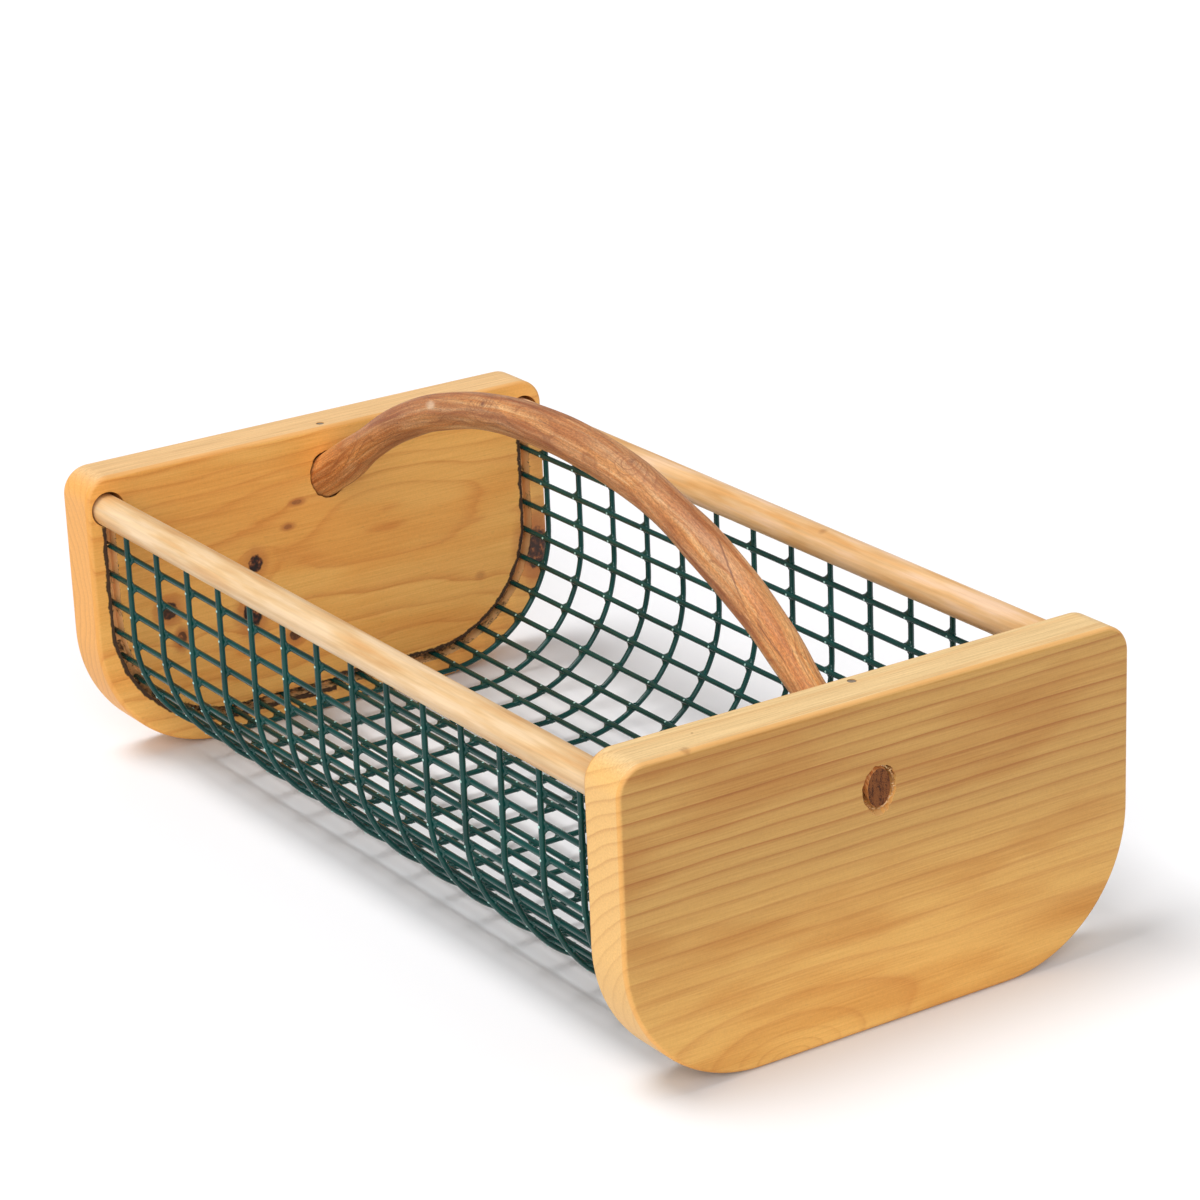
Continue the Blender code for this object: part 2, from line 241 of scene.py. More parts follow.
@dataclass(frozen=True)
class SawnPine:
    """Planed and sanded pine, left unfinished: broad pale earlywood between thin amber latewood lines.

    The cutter left the kerf's mouth pale, and that fresh-cut wood is also painted brighter than the wood
    around it to lift the kerf's shade; it scorched the walls dark brown in patches, and painted shade
    darkens the kerf's deepest part and its lip on the -Y side.
    """

    name: str
    pith: Flat
    pitch_terms: Flat
    early: str
    late: str
    late_edge: str
    blush: str
    wander: float
    rise: tuple[float, float, float, float, float]
    knots: tuple[Knot, ...]
    marks: tuple[Mark, ...]
    kerf: KerfPlace
    inward: float
    warm_band: tuple[float, float, float, float, float]
    tone_by_height: Flat
    lines_by_height: Flat
    top_tone: str
    side_tone: str
    ripple_share: float = 0.28
    line_heights: Flat = (35.0, 100.0)
    line_on_top: float = 0.45
    tone_heights: Flat = (5.0, 75.0)
    tone_widths: Flat = (25.0, 100.0)
    tone_by_width: Flat = (1.1, 0.76)
    rail_heights: Flat = (103.0, 105.0)

    def make(self) -> bpy.types.Material:
        """Build the material.

        Returns:
            The finished material, in millimetres of Object space.
        """
        material, shader, add = new_material(self.name, Roughness=0.5, IOR=1.5)
        place = add("VectorMath", (add("TexCoord").outputs["Object"], 1.0 / MM), operation="SCALE")
        axes = add("SeparateXYZ", (place,)).outputs
        normal = add("SeparateXYZ", (add("NewGeometry").outputs["Normal"],)).outputs
        rough = add("TexNoise", {"Vector": place, "Scale": 0.55, "Detail": 3.0})
        uneven = add("Math", (rough, 0.5), operation="SUBTRACT")
        slow, ripple = (
            add("Math", (grain(add, place, scale, 2.0), 0.5), operation="SUBTRACT")
            for scale in ((0.03, 0.006, 0.03), (0.12, 0.022, 0.12)))
        wave = add("Math", (slow, self.wander), operation="MULTIPLY")
        wave = add("Math", (ripple, self.wander * self.ripple_share, wave), operation="MULTIPLY_ADD")
        # The fibres are drawn 0.6 mm across and 36 mm long, because real ones are too fine to show.
        fibre = grain(add, place, (1.6, 0.028, 1.6), 4.0, 0.62)

        line, knot_shade, knot_halo = self.rings(add, axes, normal, uneven, wave)
        colour = self.bare_wood(add, place, axes, normal, line, fibre, wave)
        bark = add("TexNoise", {"Vector": place, "Scale": 0.42, "Detail": 3.0})
        bark = add("ValToRGB", (bark,), stops=((0.46, "1C0B05"), (0.58, "5E2D15"), (0.68, "A86633")))
        stain = self.stains(add, place, uneven)
        fresh_and_painted_light, scorch_and_shade = self.kerf_marks(add, place, axes, rough)
        # Painted light and shade in the kerf: its pale fresh-cut wood is painted brighter, and its dark
        # mix also paints shade on the kerf's floor and along one lip.
        for share, layer in ((knot_halo, "B4602A"), (knot_shade, bark), (stain, "7A4216"),
                             (fresh_and_painted_light, "FFC98A"), (scorch_and_shade, "24130A")):
            colour = add("Mix", (share, colour, layer), data_type="RGBA")

        gloss = add("MapRange", (fibre, 0.0, 1.0, 0.46, 0.62))
        gloss = add("Math", (scorch_and_shade, 0.3, gloss), operation="MULTIPLY_ADD")
        height = add("Math", (fibre, 0.6), operation="MULTIPLY")
        height = add("Math", (line, -0.35, height), operation="MULTIPLY_ADD")
        bump = add("Bump", {"Height": height, "Strength": 0.22, "Distance": 0.0003})
        feed(shader, {"Base Color": colour, "Roughness": gloss, "Normal": bump})
        return material

    def rings(self, add: Adder, axes: Sequence[Any], normal: Sequence[Any], uneven: Any,
              wave: Any) -> tuple[Any, Any, Any]:
        """The year rings, which swell round the knots.

        Args:
            add: Adds a node to the tree.
            axes: The place in millimetres, along, across and up.
            normal: The normal's three parts.
            uneven: A small noise about 0.
            wave: How far the rings wander.

        Returns:
            The strength of the latewood lines, of the knots and of the halo round them.
        """
        x, y, z = axes
        off_x, off_z = (add("Math", pair, operation="SUBTRACT") for pair in zip((x, z), self.pith))
        radius = add("Math", (off_z, off_z, add("Math", (off_x, off_x), operation="MULTIPLY")),
                     operation="MULTIPLY_ADD")
        radius = add("Math", (add("Math", (radius, 0.5), operation="POWER"), wave), operation="ADD")
        amount, rise_y, rise_z, half_y, half_z = self.rise
        hump = fading(add, ellipse(add, (y, z), (rise_y, rise_z), (half_y, half_z)), 1.0)
        radius = add("Math", (hump, -amount, radius), operation="MULTIPLY_ADD")
        shade: Any = 0.0
        halo: Any = 0.0
        for knot in self.knots:
            away = ellipse(add, (y, z), (knot.across, knot.up), (knot.half_across, knot.half_up))
            away = add("Math", (away, 0.5), operation="POWER")
            away = add("Math", (uneven, knot.roughness, away), operation="MULTIPLY_ADD")
            radius = add("Math", (fading(add, away, 0.55), -knot.swirl, radius),
                         operation="MULTIPLY_ADD")
            core, ring = (
                add("MapRange", (away, near, far, strength, 0.0), interpolation_type="SMOOTHSTEP")
                for near, far, strength in ((0.86, 1.1, knot.darkness), (0.9, 2.6, knot.halo)))
            shade = add("Math", (shade, core), operation="MAXIMUM")
            halo = add("Math", (halo, ring), operation="MAXIMUM")

        straight, curved = self.pitch_terms
        pitch = add("Math", (radius, curved, straight), operation="MULTIPLY_ADD")
        phase = add("Math", (radius, pitch), operation="MULTIPLY")
        line = add("ValToRGB", (add("Math", (phase,), operation="FRACT"),), stops=(
            (0.0, 0.16), (0.05, 0.0), (0.40, 0.04), (0.72, 0.2), (0.88, 0.72), (0.94, 1.0),
            (0.985, 0.3)))
        luck = add("TexWhiteNoise", (add("Math", (phase,), operation="FLOOR"),), noise_dimensions="1D")
        for source, low, high, first, last in (
                (luck, 0.0, 1.0, 0.65, 1.0), (z, *self.line_heights, *self.lines_by_height),
                (normal[2], *FACING, 1.0, self.line_on_top)):
            share = add("MapRange", (source, low, high, first, last))
            line = add("Math", (line, share), operation="MULTIPLY")
        return line, shade, halo

    def bare_wood(self, add: Adder, place: Any, axes: Sequence[Any], normal: Sequence[Any], line: Any,
                  fibre: Any, wave: Any) -> bpy.types.Node:
        """The wood's colour without knots, stains and the kerf.

        Args:
            add: Adds a node to the tree.
            place: The place in millimetres.
            axes: The same, along, across and up.
            normal: The normal's three parts.
            line: Strength of the latewood lines.
            fibre: The noise of the fibres.
            wave: How far the rings wander.

        Returns:
            The colour.
        """
        _, y, z = axes
        flat, sideways, sideward = (
            add("Math", (value,), operation="ABSOLUTE") for value in (normal[0], normal[1], y))
        edge = add("Math", (flat, -1.0, 1.0), operation="MULTIPLY_ADD")
        upward, sideways = (add("MapRange", (value, *FACING)) for value in (normal[2], sideways))
        broad = grain(add, place, (0.03, 0.009, 0.045), 3.0, start=(3.1, 0.7, 5.2))
        blush = add("MapRange", (broad, 0.47, 0.66, 0.0, 0.75), interpolation_type="SMOOTHSTEP")
        band_y, band_z, half_y, half_z, strength = self.warm_band
        band = ellipse(add, (y, add("Math", (wave, z), operation="ADD")), (band_y, band_z),
                       (half_y, half_z))
        band = add("Math", (fading(add, band, 1.0), strength), operation="MULTIPLY")
        blush = add("Math", (blush, band), operation="MAXIMUM")
        late = add("Mix", (edge, self.late, self.late_edge), data_type="RGBA")
        colour: Any = self.early
        for share, layer in ((blush, self.blush), (upward, self.top_tone), (sideways, self.side_tone),
                             (line, late)):
            colour = add("Mix", (share, colour, layer), data_type="RGBA")

        fleck = grain(add, place, (2.4, 0.22, 2.4), 1.0)
        dashes = add("MapRange", (fleck, 0.66, 0.76, 0.0, 0.10))
        tone = add("MapRange", (fibre, *FIBRE_SPAN, 0.94, 1.05))
        tone = add("Math", (tone, dashes), operation="SUBTRACT")
        dust = add("TexNoise", {"Vector": place, "Scale": 1.4, "Detail": 1.0})
        dust, streaked = (add("Math", (value, 0.5), operation="SUBTRACT") for value in (dust, fibre))
        tone = add("Math", (dust, 0.16, tone), operation="MULTIPLY_ADD")
        aloft = add("MapRange", (z, *self.tone_heights, *(part - 1.0 for part in self.tone_by_height)))
        inward = add("MapRange", (sideward, *self.tone_widths, *self.tone_by_width))
        for factor in (inward, flat):
            aloft = add("Math", (aloft, factor), operation="MULTIPLY")
        aloft = add("Math", (aloft, 1.0), operation="ADD")
        tone = add("Math", (tone, aloft), operation="MULTIPLY")
        streaked = add("Math", (streaked, upward), operation="MULTIPLY")
        tone = add("Math", (streaked, 0.45, tone), operation="MULTIPLY_ADD")
        colour = add("VectorMath", (colour, tone), operation="SCALE")
        colour = add("Gamma", (colour, add("MapRange", (fibre, *FIBRE_SPAN, 1.08, 0.93))))
        # Painted shade: the rounded arrises between the faces are painted half way to a darker orange.
        arris_shade = add("Math", (flat, edge), operation="MULTIPLY")
        arris_shade = add("MapRange", (arris_shade, 0.04, 0.2, 0.0, 0.5))
        return add("Mix", (arris_shade, colour, "DD9843"), data_type="RGBA")

    def stains(self, add: Adder, place: Any, uneven: Any) -> Any:
        """The strength of the small marks.

        Args:
            add: Adds a node to the tree.
            place: The place in millimetres.
            uneven: A small noise about 0.

        Returns:
            The strength, or 0 where there are no marks.
        """
        stain: Any = 0.0
        for mark in self.marks:
            away = add("VectorMath", (place, mark.centre), operation="DISTANCE")
            away = add("Math", (uneven, mark.radius * 0.9, away), operation="MULTIPLY_ADD")
            spot = add("MapRange", (away, mark.radius * 0.55, mark.radius, mark.strength, 0.0))
            stain = add("Math", (stain, spot), operation="MAXIMUM")
        return stain

    def kerf_marks(self, add: Adder, place: Any, axes: Sequence[Any],
                   rough: Any) -> tuple[bpy.types.Node, bpy.types.Node]:
        """What the cutter left along the kerf, with painted light and painted shade.

        Args:
            add: Adds a node to the tree.
            place: The place in millimetres.
            axes: The same, along, across and up.
            rough: A small noise.

        Returns:
            The strength of the pale fresh-cut wood, painted brighter to lift the kerf's shade, and of
            the dark mix, which is scorched patches and painted shade on the kerf's floor and along one
            lip.
        """
        x, y, z = axes
        kerf, half = self.kerf, self.kerf.half_width
        out_y = add("Math", (y,), operation="ABSOLUTE")
        out_y = add("Math", (out_y, kerf.side - kerf.bend_radius), operation="SUBTRACT")
        down = add("Math", (kerf.floor + kerf.bend_radius, z), operation="SUBTRACT")
        corner_y, corner_z = (add("Math", (value, 0.0), operation="MAXIMUM") for value in (out_y, down))
        corner_z = add("Math", (corner_z, corner_z), operation="MULTIPLY")
        reach = add("Math", (corner_y, corner_y, corner_z), operation="MULTIPLY_ADD")
        reach = add("Math", (reach, 0.5), operation="POWER")
        inner = add("Math", (out_y, down), operation="MAXIMUM")
        inner = add("Math", (inner, 0.0), operation="MINIMUM")
        from_line = add("Math", (reach, inner), operation="ADD")
        from_line = add("Math", (from_line, kerf.bend_radius), operation="SUBTRACT")
        to_left = add("Math", (from_line, add("Math", (y,), operation="SIGN")), operation="MULTIPLY")
        to_left = add("Math", (to_left, -1.0), operation="MULTIPLY")
        from_line = add("Math", (from_line,), operation="ABSOLUTE")
        below_face = add("Math", (x, self.inward), operation="MULTIPLY")
        below_face = add("Math", (below_face, kerf.inner_face), operation="SUBTRACT")
        ragged = add("TexNoise", {"Vector": place, "Scale": 0.22, "Detail": 5.0, "Roughness": 0.7})
        ragged = add("Math", (ragged, 0.5), operation="SUBTRACT")
        torn_line, lip = (add("Math", (ragged, amount, line), operation="MULTIPLY_ADD")
                          for amount, line in ((4.4, from_line), (3.2, to_left)))
        low_down = add("MapRange", (z, 20.0, 60.0, 0.42, 0.60))
        burnt = add("TexNoise", {"Vector": place, "Scale": 0.16, "Detail": 3.0})
        burnt = add("Math", (burnt, low_down), operation="SUBTRACT")
        # The pale fresh-cut wood near the kerf's mouth is painted brighter than the wood around it, to
        # paint light into the kerf's shade.
        (shallow, below_rail, fresh_and_painted_light, mouth, edge, inside, at_face, scorch_and_shade, deep, low, burnt,
         charred) = (add("MapRange", values) for values in (
             (below_face, kerf.depth + 0.5, kerf.depth + 1.5, 1.0, 0.0),
             (z, *self.rail_heights, 1.0, 0.0),
             (from_line, half + 1.0, half + 1.3, 0.85, 0.0),
             (below_face, 0.1, 0.5),
             (lip, half + 1.4, half + 1.8, 0.96, 0.0),
             (to_left, half - 0.8, half - 0.4),
             (below_face, 0.9, 1.7, 1.0, 0.0),
             (torn_line, half - 0.5, half + 0.1, 0.94, 0.0),
             (below_face, kerf.depth * 0.8, kerf.depth * 0.97, 0.0, 1.0),
             (z, 22.0, 48.0, 1.0, 0.0),
             (burnt, -0.02, 0.03, 0.0, 1.0),
             (rough, 0.35, 0.6, 0.6, 1.0)))
        for factor in (mouth, shallow, below_rail):
            fresh_and_painted_light = add("Math", (fresh_and_painted_light, factor), operation="MULTIPLY")
        # Painted shadow: a dark ragged line along the kerf's lip on its -Y side, within about a
        # millimetre below the face.
        for factor in (inside, at_face):
            edge = add("Math", (edge, factor), operation="MULTIPLY")
        # Painted shade: the kerf's deepest part is darkened, low on the board, and joins the scorched
        # patches.
        deep = add("Math", (deep, low), operation="MULTIPLY")
        burnt = add("Math", (burnt, deep), operation="MAXIMUM")
        burnt = add("Math", (burnt, charred), operation="MULTIPLY")
        scorch_and_shade = add("Math", (scorch_and_shade, burnt), operation="MULTIPLY")
        scorch_and_shade = add("Math", (scorch_and_shade, edge), operation="MAXIMUM")
        for factor in (shallow, below_rail):
            scorch_and_shade = add("Math", (scorch_and_shade, factor), operation="MULTIPLY")
        return fresh_and_painted_light, scorch_and_shade


@dataclass(frozen=True)
class TurnedDowel:
    """Machine-turned birch dowel: creamy, close and almost without figure, with hair-thin streaks."""

    name: str
    seed: float
    pale: str
    middle: str
    warm: str
    pin: Point = (0.0, 0.0, 0.0)

    def make(self) -> bpy.types.Material:
        """Build the material.

        Returns:
            The finished material.
        """
        material, shader, add = new_material(self.name, Roughness=0.45, IOR=1.5)
        place = add("TexCoord").outputs["Object"]
        # The streaks are drawn 1.25 mm across, because real vessel lines are too fine to show.
        streak = grain(add, place, (22.0, 800.0, 800.0), 4.0, 0.6, (self.seed, 0.0, self.seed))
        broad = grain(add, place, (20.0, 190.0, 190.0), 4.0, start=(self.seed, 0.3, 0.0))
        colour = add("ValToRGB", (broad,), stops=(
            (0.36, self.pale), (0.50, self.middle), (0.66, self.warm)))
        tone = add("MapRange", (streak, 0.3, 0.7, 0.86, 1.06))
        colour = add("VectorMath", (colour, tone), operation="SCALE")
        away = add("VectorMath", (place, self.pin), operation="DISTANCE")
        pin = add("MapRange", (away, 0.6 * MM, 2.4 * MM, 0.6, 0.0))
        colour = add("Mix", (pin, colour, "A8743E"), data_type="RGBA")
        bump = add("Bump", {"Height": streak, "Strength": 0.16, "Distance": 0.0003})
        feed(shader, {"Base Color": colour, "Normal": bump})
        return material


@dataclass(frozen=True)
class PeeledStick:
    """Peeled hardwood, bent and drawn smooth by knife: tan, finely speckled, with hairline cracks; the
    underside is painted lighter to lift its shade, and a pale spot of wear on top also carries a painted
    highlight.

    The pattern reads what the stick's mesh carries: "straightened", the place of each point before the
    stick was bent, in millimetres, with the length along Z; "knot_away", the distance to the nearest
    knot in millimetres; "slice_place", the place from the edge of a long knife slice in millimetres;
    "facet_tone" and "worn", both from 0 to 1.
    """

    name: str
    slit_from: Flat = (106.0, 110.0)
    slit_to: Flat = (124.0, 138.0)

    def make(self) -> bpy.types.Material:
        """Build the material.

        Returns:
            The finished material.
        """
        material, shader, add = new_material(self.name, Roughness=0.5, IOR=1.5)
        place, sliced, facet, away, worn = (
            add("Attribute", attribute_name=name).outputs[output] for name, output in (
                ("straightened", "Vector"), ("slice_place", "Vector"), ("facet_tone", "Fac"),
                ("knot_away", "Fac"), ("worn", "Fac")))
        bend = grain(add, place, (0.09, 0.09, 0.02), 2.0).outputs["Color"]
        bend = add("VectorMath", (bend, 5.0), operation="SCALE")
        moved = add("VectorMath", (place, bend), operation="ADD")
        colour = add("ValToRGB", (grain(add, moved, (0.11, 0.11, 0.012), 3.0),), stops=(
            (0.32, "A5693E"), (0.46, "BC7E4C"), (0.60, "C98F59"), (0.76, "D5A06A")))
        heat = add("MapRange", (grain(add, moved, (0.75, 0.75, 0.022), 3.0), 0.32, 0.68, 1.32, 0.78))
        heat = add("Gamma", (colour, heat))
        # The speckle is drawn 0.4 mm across, because the wood's real pores are too fine to show.
        # The tone attribute carries the painted light on the underside: facets brightens by it, and tint
        # warms the lighter parts and cools the darker ones.
        tone, speckle, facets = (add("MapRange", values) for values in (
            (grain(add, moved, (1.5, 1.5, 0.03), 4.0, 0.65), 0.3, 0.70, 0.82, 1.10),
            (grain(add, place, (2.6, 2.6, 0.75), 2.0), 0.34, 0.66, 0.75, 1.20),
            (facet, 0.0, 1.0, 0.80, 1.26)))
        for factor in (speckle, facets):
            tone = add("Math", (tone, factor), operation="MULTIPLY")
        colour = add("VectorMath", (heat, tone), operation="SCALE")
        tint = add("Mix", (facet, (1.01, 1.01, 1.10, 1.0), (1.0, 0.985, 0.84, 1.0)), data_type="RGBA")
        colour = add("VectorMath", (colour, tint), operation="MULTIPLY")

        drawn = self.rings(add, place, away)
        ridge = grain(add, moved, (0.33, 0.33, 0.008), 1.0)
        ridge = add("Math", (ridge, 0.5), operation="SUBTRACT")
        ridge = add("Math", (ridge,), operation="ABSOLUTE")
        crack, cracked = (add("MapRange", values) for values in (
            (ridge, 0.0, 0.008, 0.7, 0.0),
            (grain(add, place, (0.14, 0.14, 0.03), 1.0), 0.48, 0.56, 0.0, 1.0)))
        crack = add("Math", (crack, cracked), operation="MULTIPLY")
        slit = self.slit(add, place, sliced)
        knot = grain(add, place, (0.5, 0.5, 0.3), 2.0)
        knot = add("Math", (knot, 3.0, away), operation="MULTIPLY_ADD")
        knot = add("MapRange", (knot, 2.2, 3.4, 0.75, 0.0))
        # The pale spot of wear on top of the stick is also a painted highlight.
        for share, layer in ((drawn, "8A4C28"), (crack, "613A26"), (slit, "6A3A22"), (knot, "744430"),
                             (worn, "E6C7A6")):
            colour = add("Mix", (share, colour, layer), data_type="RGBA")
        height = add("Math", (crack, -1.5, tone), operation="MULTIPLY_ADD")
        bump = add("Bump", {"Height": height, "Strength": 0.35, "Distance": 0.0004})
        feed(shader, {"Base Color": colour, "Normal": bump})
        return material

    def rings(self, add: Adder, place: Any, away: Any) -> bpy.types.Node:
        """The year rings that the knife laid open, plainer close to a knot.

        Args:
            add: Adds a node to the tree.
            place: The place on the straight stick in millimetres.
            away: Distance to the nearest knot.

        Returns:
            The strength of the rings' lines.
        """
        level = add("VectorMath", (place, (1.0, 1.0, 0.0)), operation="MULTIPLY")
        level = add("VectorMath", (level, (4.2, -2.6, 0.0)), operation="DISTANCE")
        for source, amount in ((grain(add, place, (0.05, 0.05, 0.016), 2.0), 9.0),
                               (fading(add, away, 0.16), 7.0)):
            level = add("Math", (source, amount, level), operation="MULTIPLY_ADD")
        phase = add("Math", (level, 0.8), operation="MULTIPLY")
        phase = add("Math", (phase,), operation="FRACT")
        rings = add("ValToRGB", (phase,), stops=(
            (0.0, 0.3), (0.06, 0.0), (0.6, 0.08), (0.86, 0.45), (0.92, 1.0), (0.98, 0.7)))
        drawn, close = (
            add("Math", (rings, add("MapRange", values)), operation="MULTIPLY") for values in (
                (grain(add, place, (0.12, 0.12, 0.02), 1.0), 0.42, 0.62, 0.12, 0.62),
                (away, 3.0, 15.0, 0.85, 0.0)))
        return add("Math", (drawn, close), operation="MAXIMUM")

    def slit(self, add: Adder, place: Any, sliced: Any) -> bpy.types.Node:
        """The hairline along the low knife slice.

        Args:
            add: Adds a node to the tree.
            place: The place on the straight stick in millimetres.
            sliced: The place from the slice's edge in millimetres.

        Returns:
            The strength of the line.
        """
        across, above, along = add("SeparateXYZ", (sliced,)).outputs
        beside = grain(add, place, (0.4, 0.4, 0.4), 2.0)
        beside = add("Math", (beside, 0.8, across), operation="MULTIPLY_ADD")
        beside = add("Math", (beside, 0.4), operation="SUBTRACT")
        beside = add("Math", (beside,), operation="ABSOLUTE")
        slit, *fades = (add("MapRange", values) for values in (
            (beside, 0.15, 0.6, 0.7, 0.0), (above, 0.0, 2.0, 0.0, 1.0),
            (along, *self.slit_from, 0.0, 1.0), (along, *self.slit_to, 1.0, 0.0)))
        for fade in fades:
            slit = add("Math", (slit, fade), operation="MULTIPLY")
        return slit


@dataclass(frozen=True)
class StickEnd:
    """The stick's sawn end: dark end grain with pores in upright rows."""

    name: str

    def make(self) -> bpy.types.Material:
        """Build the material.

        Returns:
            The finished material.
        """
        material, shader, add = new_material(self.name, Roughness=0.75, Specular_IOR_Level=0.25)
        place = add("TexCoord").outputs["Object"]
        rows = add("Mapping", {0: place, "Rotation": (math.radians(8.0), 0.0, 0.0),
                               "Scale": (300.0, 1100.0, 260.0)})
        rows = add("TexNoise", {"Vector": rows, "Scale": 1.0, "Detail": 3.0})
        # The pores are drawn 0.4 mm across, because real ones are too fine to show.
        pores = add("TexNoise", {"Vector": place, "Scale": 2400.0, "Detail": 2.0})
        shade = add("Math", (rows, pores), operation="ADD")
        colour = add("ValToRGB", (shade,), stops=((0.80, "40200B"), (0.98, "673818"), (1.0, "774520")))
        bump = add("Bump", {"Height": shade, "Strength": 0.5, "Distance": 0.0003})
        feed(shader, {"Base Color": colour, "Normal": bump})
        return material


@dataclass(frozen=True)
class CoatedWire:
    """Plastic coating fused onto welded wire: deep green, glossy, and faintly uneven."""

    name: str
    base: str
    roughness: float
    gloss: float

    def make(self) -> bpy.types.Material:
        """Build the material.

        Returns:
            The finished material.
        """
        material, shader, add = new_material(self.name, Roughness=self.roughness, IOR=1.5,
                                             Specular_IOR_Level=self.gloss)
        place = add("TexCoord").outputs["Object"]
        cloud, peel = (add("TexNoise", {"Vector": place, "Scale": scale, "Detail": detail})
                       for scale, detail in ((55.0, 3.0), (900.0, 2.0)))
        tone = add("MapRange", (cloud, 0.3, 0.7, 0.75, 1.25))
        colour = add("VectorMath", (linear(self.base)[:3], tone), operation="SCALE")
        bump = add("Bump", {"Height": peel, "Strength": 0.16, "Distance": 0.0002})
        feed(shader, {"Base Color": colour, "Normal": bump})
        return material


@dataclass(frozen=True)
class TornFibre:
    """Wood fibre that a cutter tore up: pale straw with darker, scorched patches."""

    name: str
    pale: str
    dark: str

    def make(self) -> bpy.types.Material:
        """Build the material.

        Returns:
            The finished material.
        """
        material, shader, add = new_material(self.name, Roughness=0.8)
        cloud = add("TexNoise", {"Vector": add("TexCoord").outputs["Object"], "Scale": 260.0,
                                 "Detail": 2.0})
        colour = add("ValToRGB", (cloud,), stops=((0.42, self.dark), (0.60, self.pale)))
        feed(shader, {"Base Color": colour})
        return material


@dataclass(frozen=True)
class DarkNail:
    """Bright wire nail gone dark in the weather, with a dull uneven head."""

    name: str

    def make(self) -> bpy.types.Material:
        """Build the material.

        Returns:
            The finished material.
        """
        material, shader, add = new_material(self.name, Roughness=0.5, Metallic=0.6)
        cloud = add("TexNoise", {"Vector": add("TexCoord").outputs["Object"], "Scale": 700.0,
                                 "Detail": 3.0})
        colour = add("ValToRGB", (cloud,), stops=((0.35, "7C6C5C"), (0.65, "A89A88")))
        gloss = add("MapRange", (cloud, 0.0, 1.0, 0.4, 0.75))
        feed(shader, {"Base Color": colour, "Roughness": gloss})
        return material


def put_in_scene(name: str, data: bpy.types.ID) -> bpy.types.Object:
    """Add an object at the origin.

    Args:
        name: Its name.
        data: Its mesh, curve, lamp or camera.

    Returns:
        The object.
    """
    piece = bpy.data.objects.new(name, data)
    bpy.context.scene.collection.objects.link(piece)
    return piece


def mesh_from(shape: bmesh.types.BMesh, name: str) -> bpy.types.Mesh:
    """Turn a shape into a mesh and free it.

    Args:
        shape: The shape.
        name: Name of the mesh.

    Returns:
        The mesh.
    """
    mesh = bpy.data.meshes.new(name)
    shape.to_mesh(mesh)
    shape.free()
    return mesh


def loft(shape: bmesh.types.BMesh, rings: Sequence[Any]) -> list[bmesh.types.BMFace]:
    """Join closed rings of corners by faces and cap the two ends.

    Args:
        shape: What takes the faces.
        rings: The rings of corners, from one end to the other.

    Returns:
        The two caps.
    """
    for ring, following in zip(rings, rings[1:]):
        for number, corner in enumerate(ring):
            after = (number + 1) % len(ring)
            shape.faces.new((corner, ring[after], following[after], following[number]))
    return [shape.faces.new(rings[0]), shape.faces.new(rings[-1])]


def new_tree(name: str, kinds: dict[str, str]) -> tuple[bpy.types.NodeTree, Adder, Any]:
    """Start a Geometry Nodes tree.

    Args:
        name: The tree's name.
        kinds: Name and kind of each input after the geometry.

    Returns:
        The tree, add_node for it, and its inputs as they come in.
    """
    tree = bpy.data.node_groups.new(name, "GeometryNodeTree")
    for label, kind in {"Geometry": "Geometry", **kinds}.items():
        tree.interface.new_socket(label, in_out="INPUT", socket_type=f"NodeSocket{kind}")
    tree.interface.new_socket("Geometry", in_out="OUTPUT", socket_type="NodeSocketGeometry")
    add = partial(add_node, tree)
    return tree, add, add("NodeGroupInput").outputs


def grown(holder: bpy.types.Object, tree: bpy.types.NodeTree, name: str,
          values: dict[str, Any]) -> bpy.types.Object:
    """Run a node tree on an object and bake what comes out.

    Args:
        holder: The object; it is removed.
        tree: The tree.
        name: Name of the new object.
        values: Value of each named input.

    Returns:
        The result as one plain mesh.
    """
    modifier = holder.modifiers.new(name, "NODES")
    modifier.node_group = tree
    for item in tree.interface.items_tree:
        if item.in_out == "INPUT" and item.name in values:
            modifier[item.identifier] = values[item.name]
    return baked(holder, name)


def baked(piece: bpy.types.Object, name: str) -> bpy.types.Object:
    """Turn an object with modifiers, or a curve, into a plain mesh object.

    Args:
        piece: The object to evaluate; it is removed.
        name: Name of the new object.

    Returns:
        The new object, at the origin, with its place in its mesh.
    """
    bpy.context.view_layer.update()
    evaluated = piece.evaluated_get(bpy.context.evaluated_depsgraph_get())
    mesh = bpy.data.meshes.new_from_object(evaluated)
    mesh.transform(piece.matrix_world)
    bpy.data.objects.remove(piece, do_unlink=True)
    mesh.name = name
    return put_in_scene(name, mesh)


def welded(piece: bpy.types.Object) -> None:
    """Weld a mesh's doubles and point its faces outwards.

    Args:
        piece: The mesh object.
    """
    shape = bmesh.new()
    shape.from_mesh(piece.data)
    bmesh.ops.remove_doubles(shape, verts=shape.verts, dist=0.01 * MM)
    bmesh.ops.recalc_face_normals(shape, faces=shape.faces)
    shape.to_mesh(piece.data)
    shape.free()


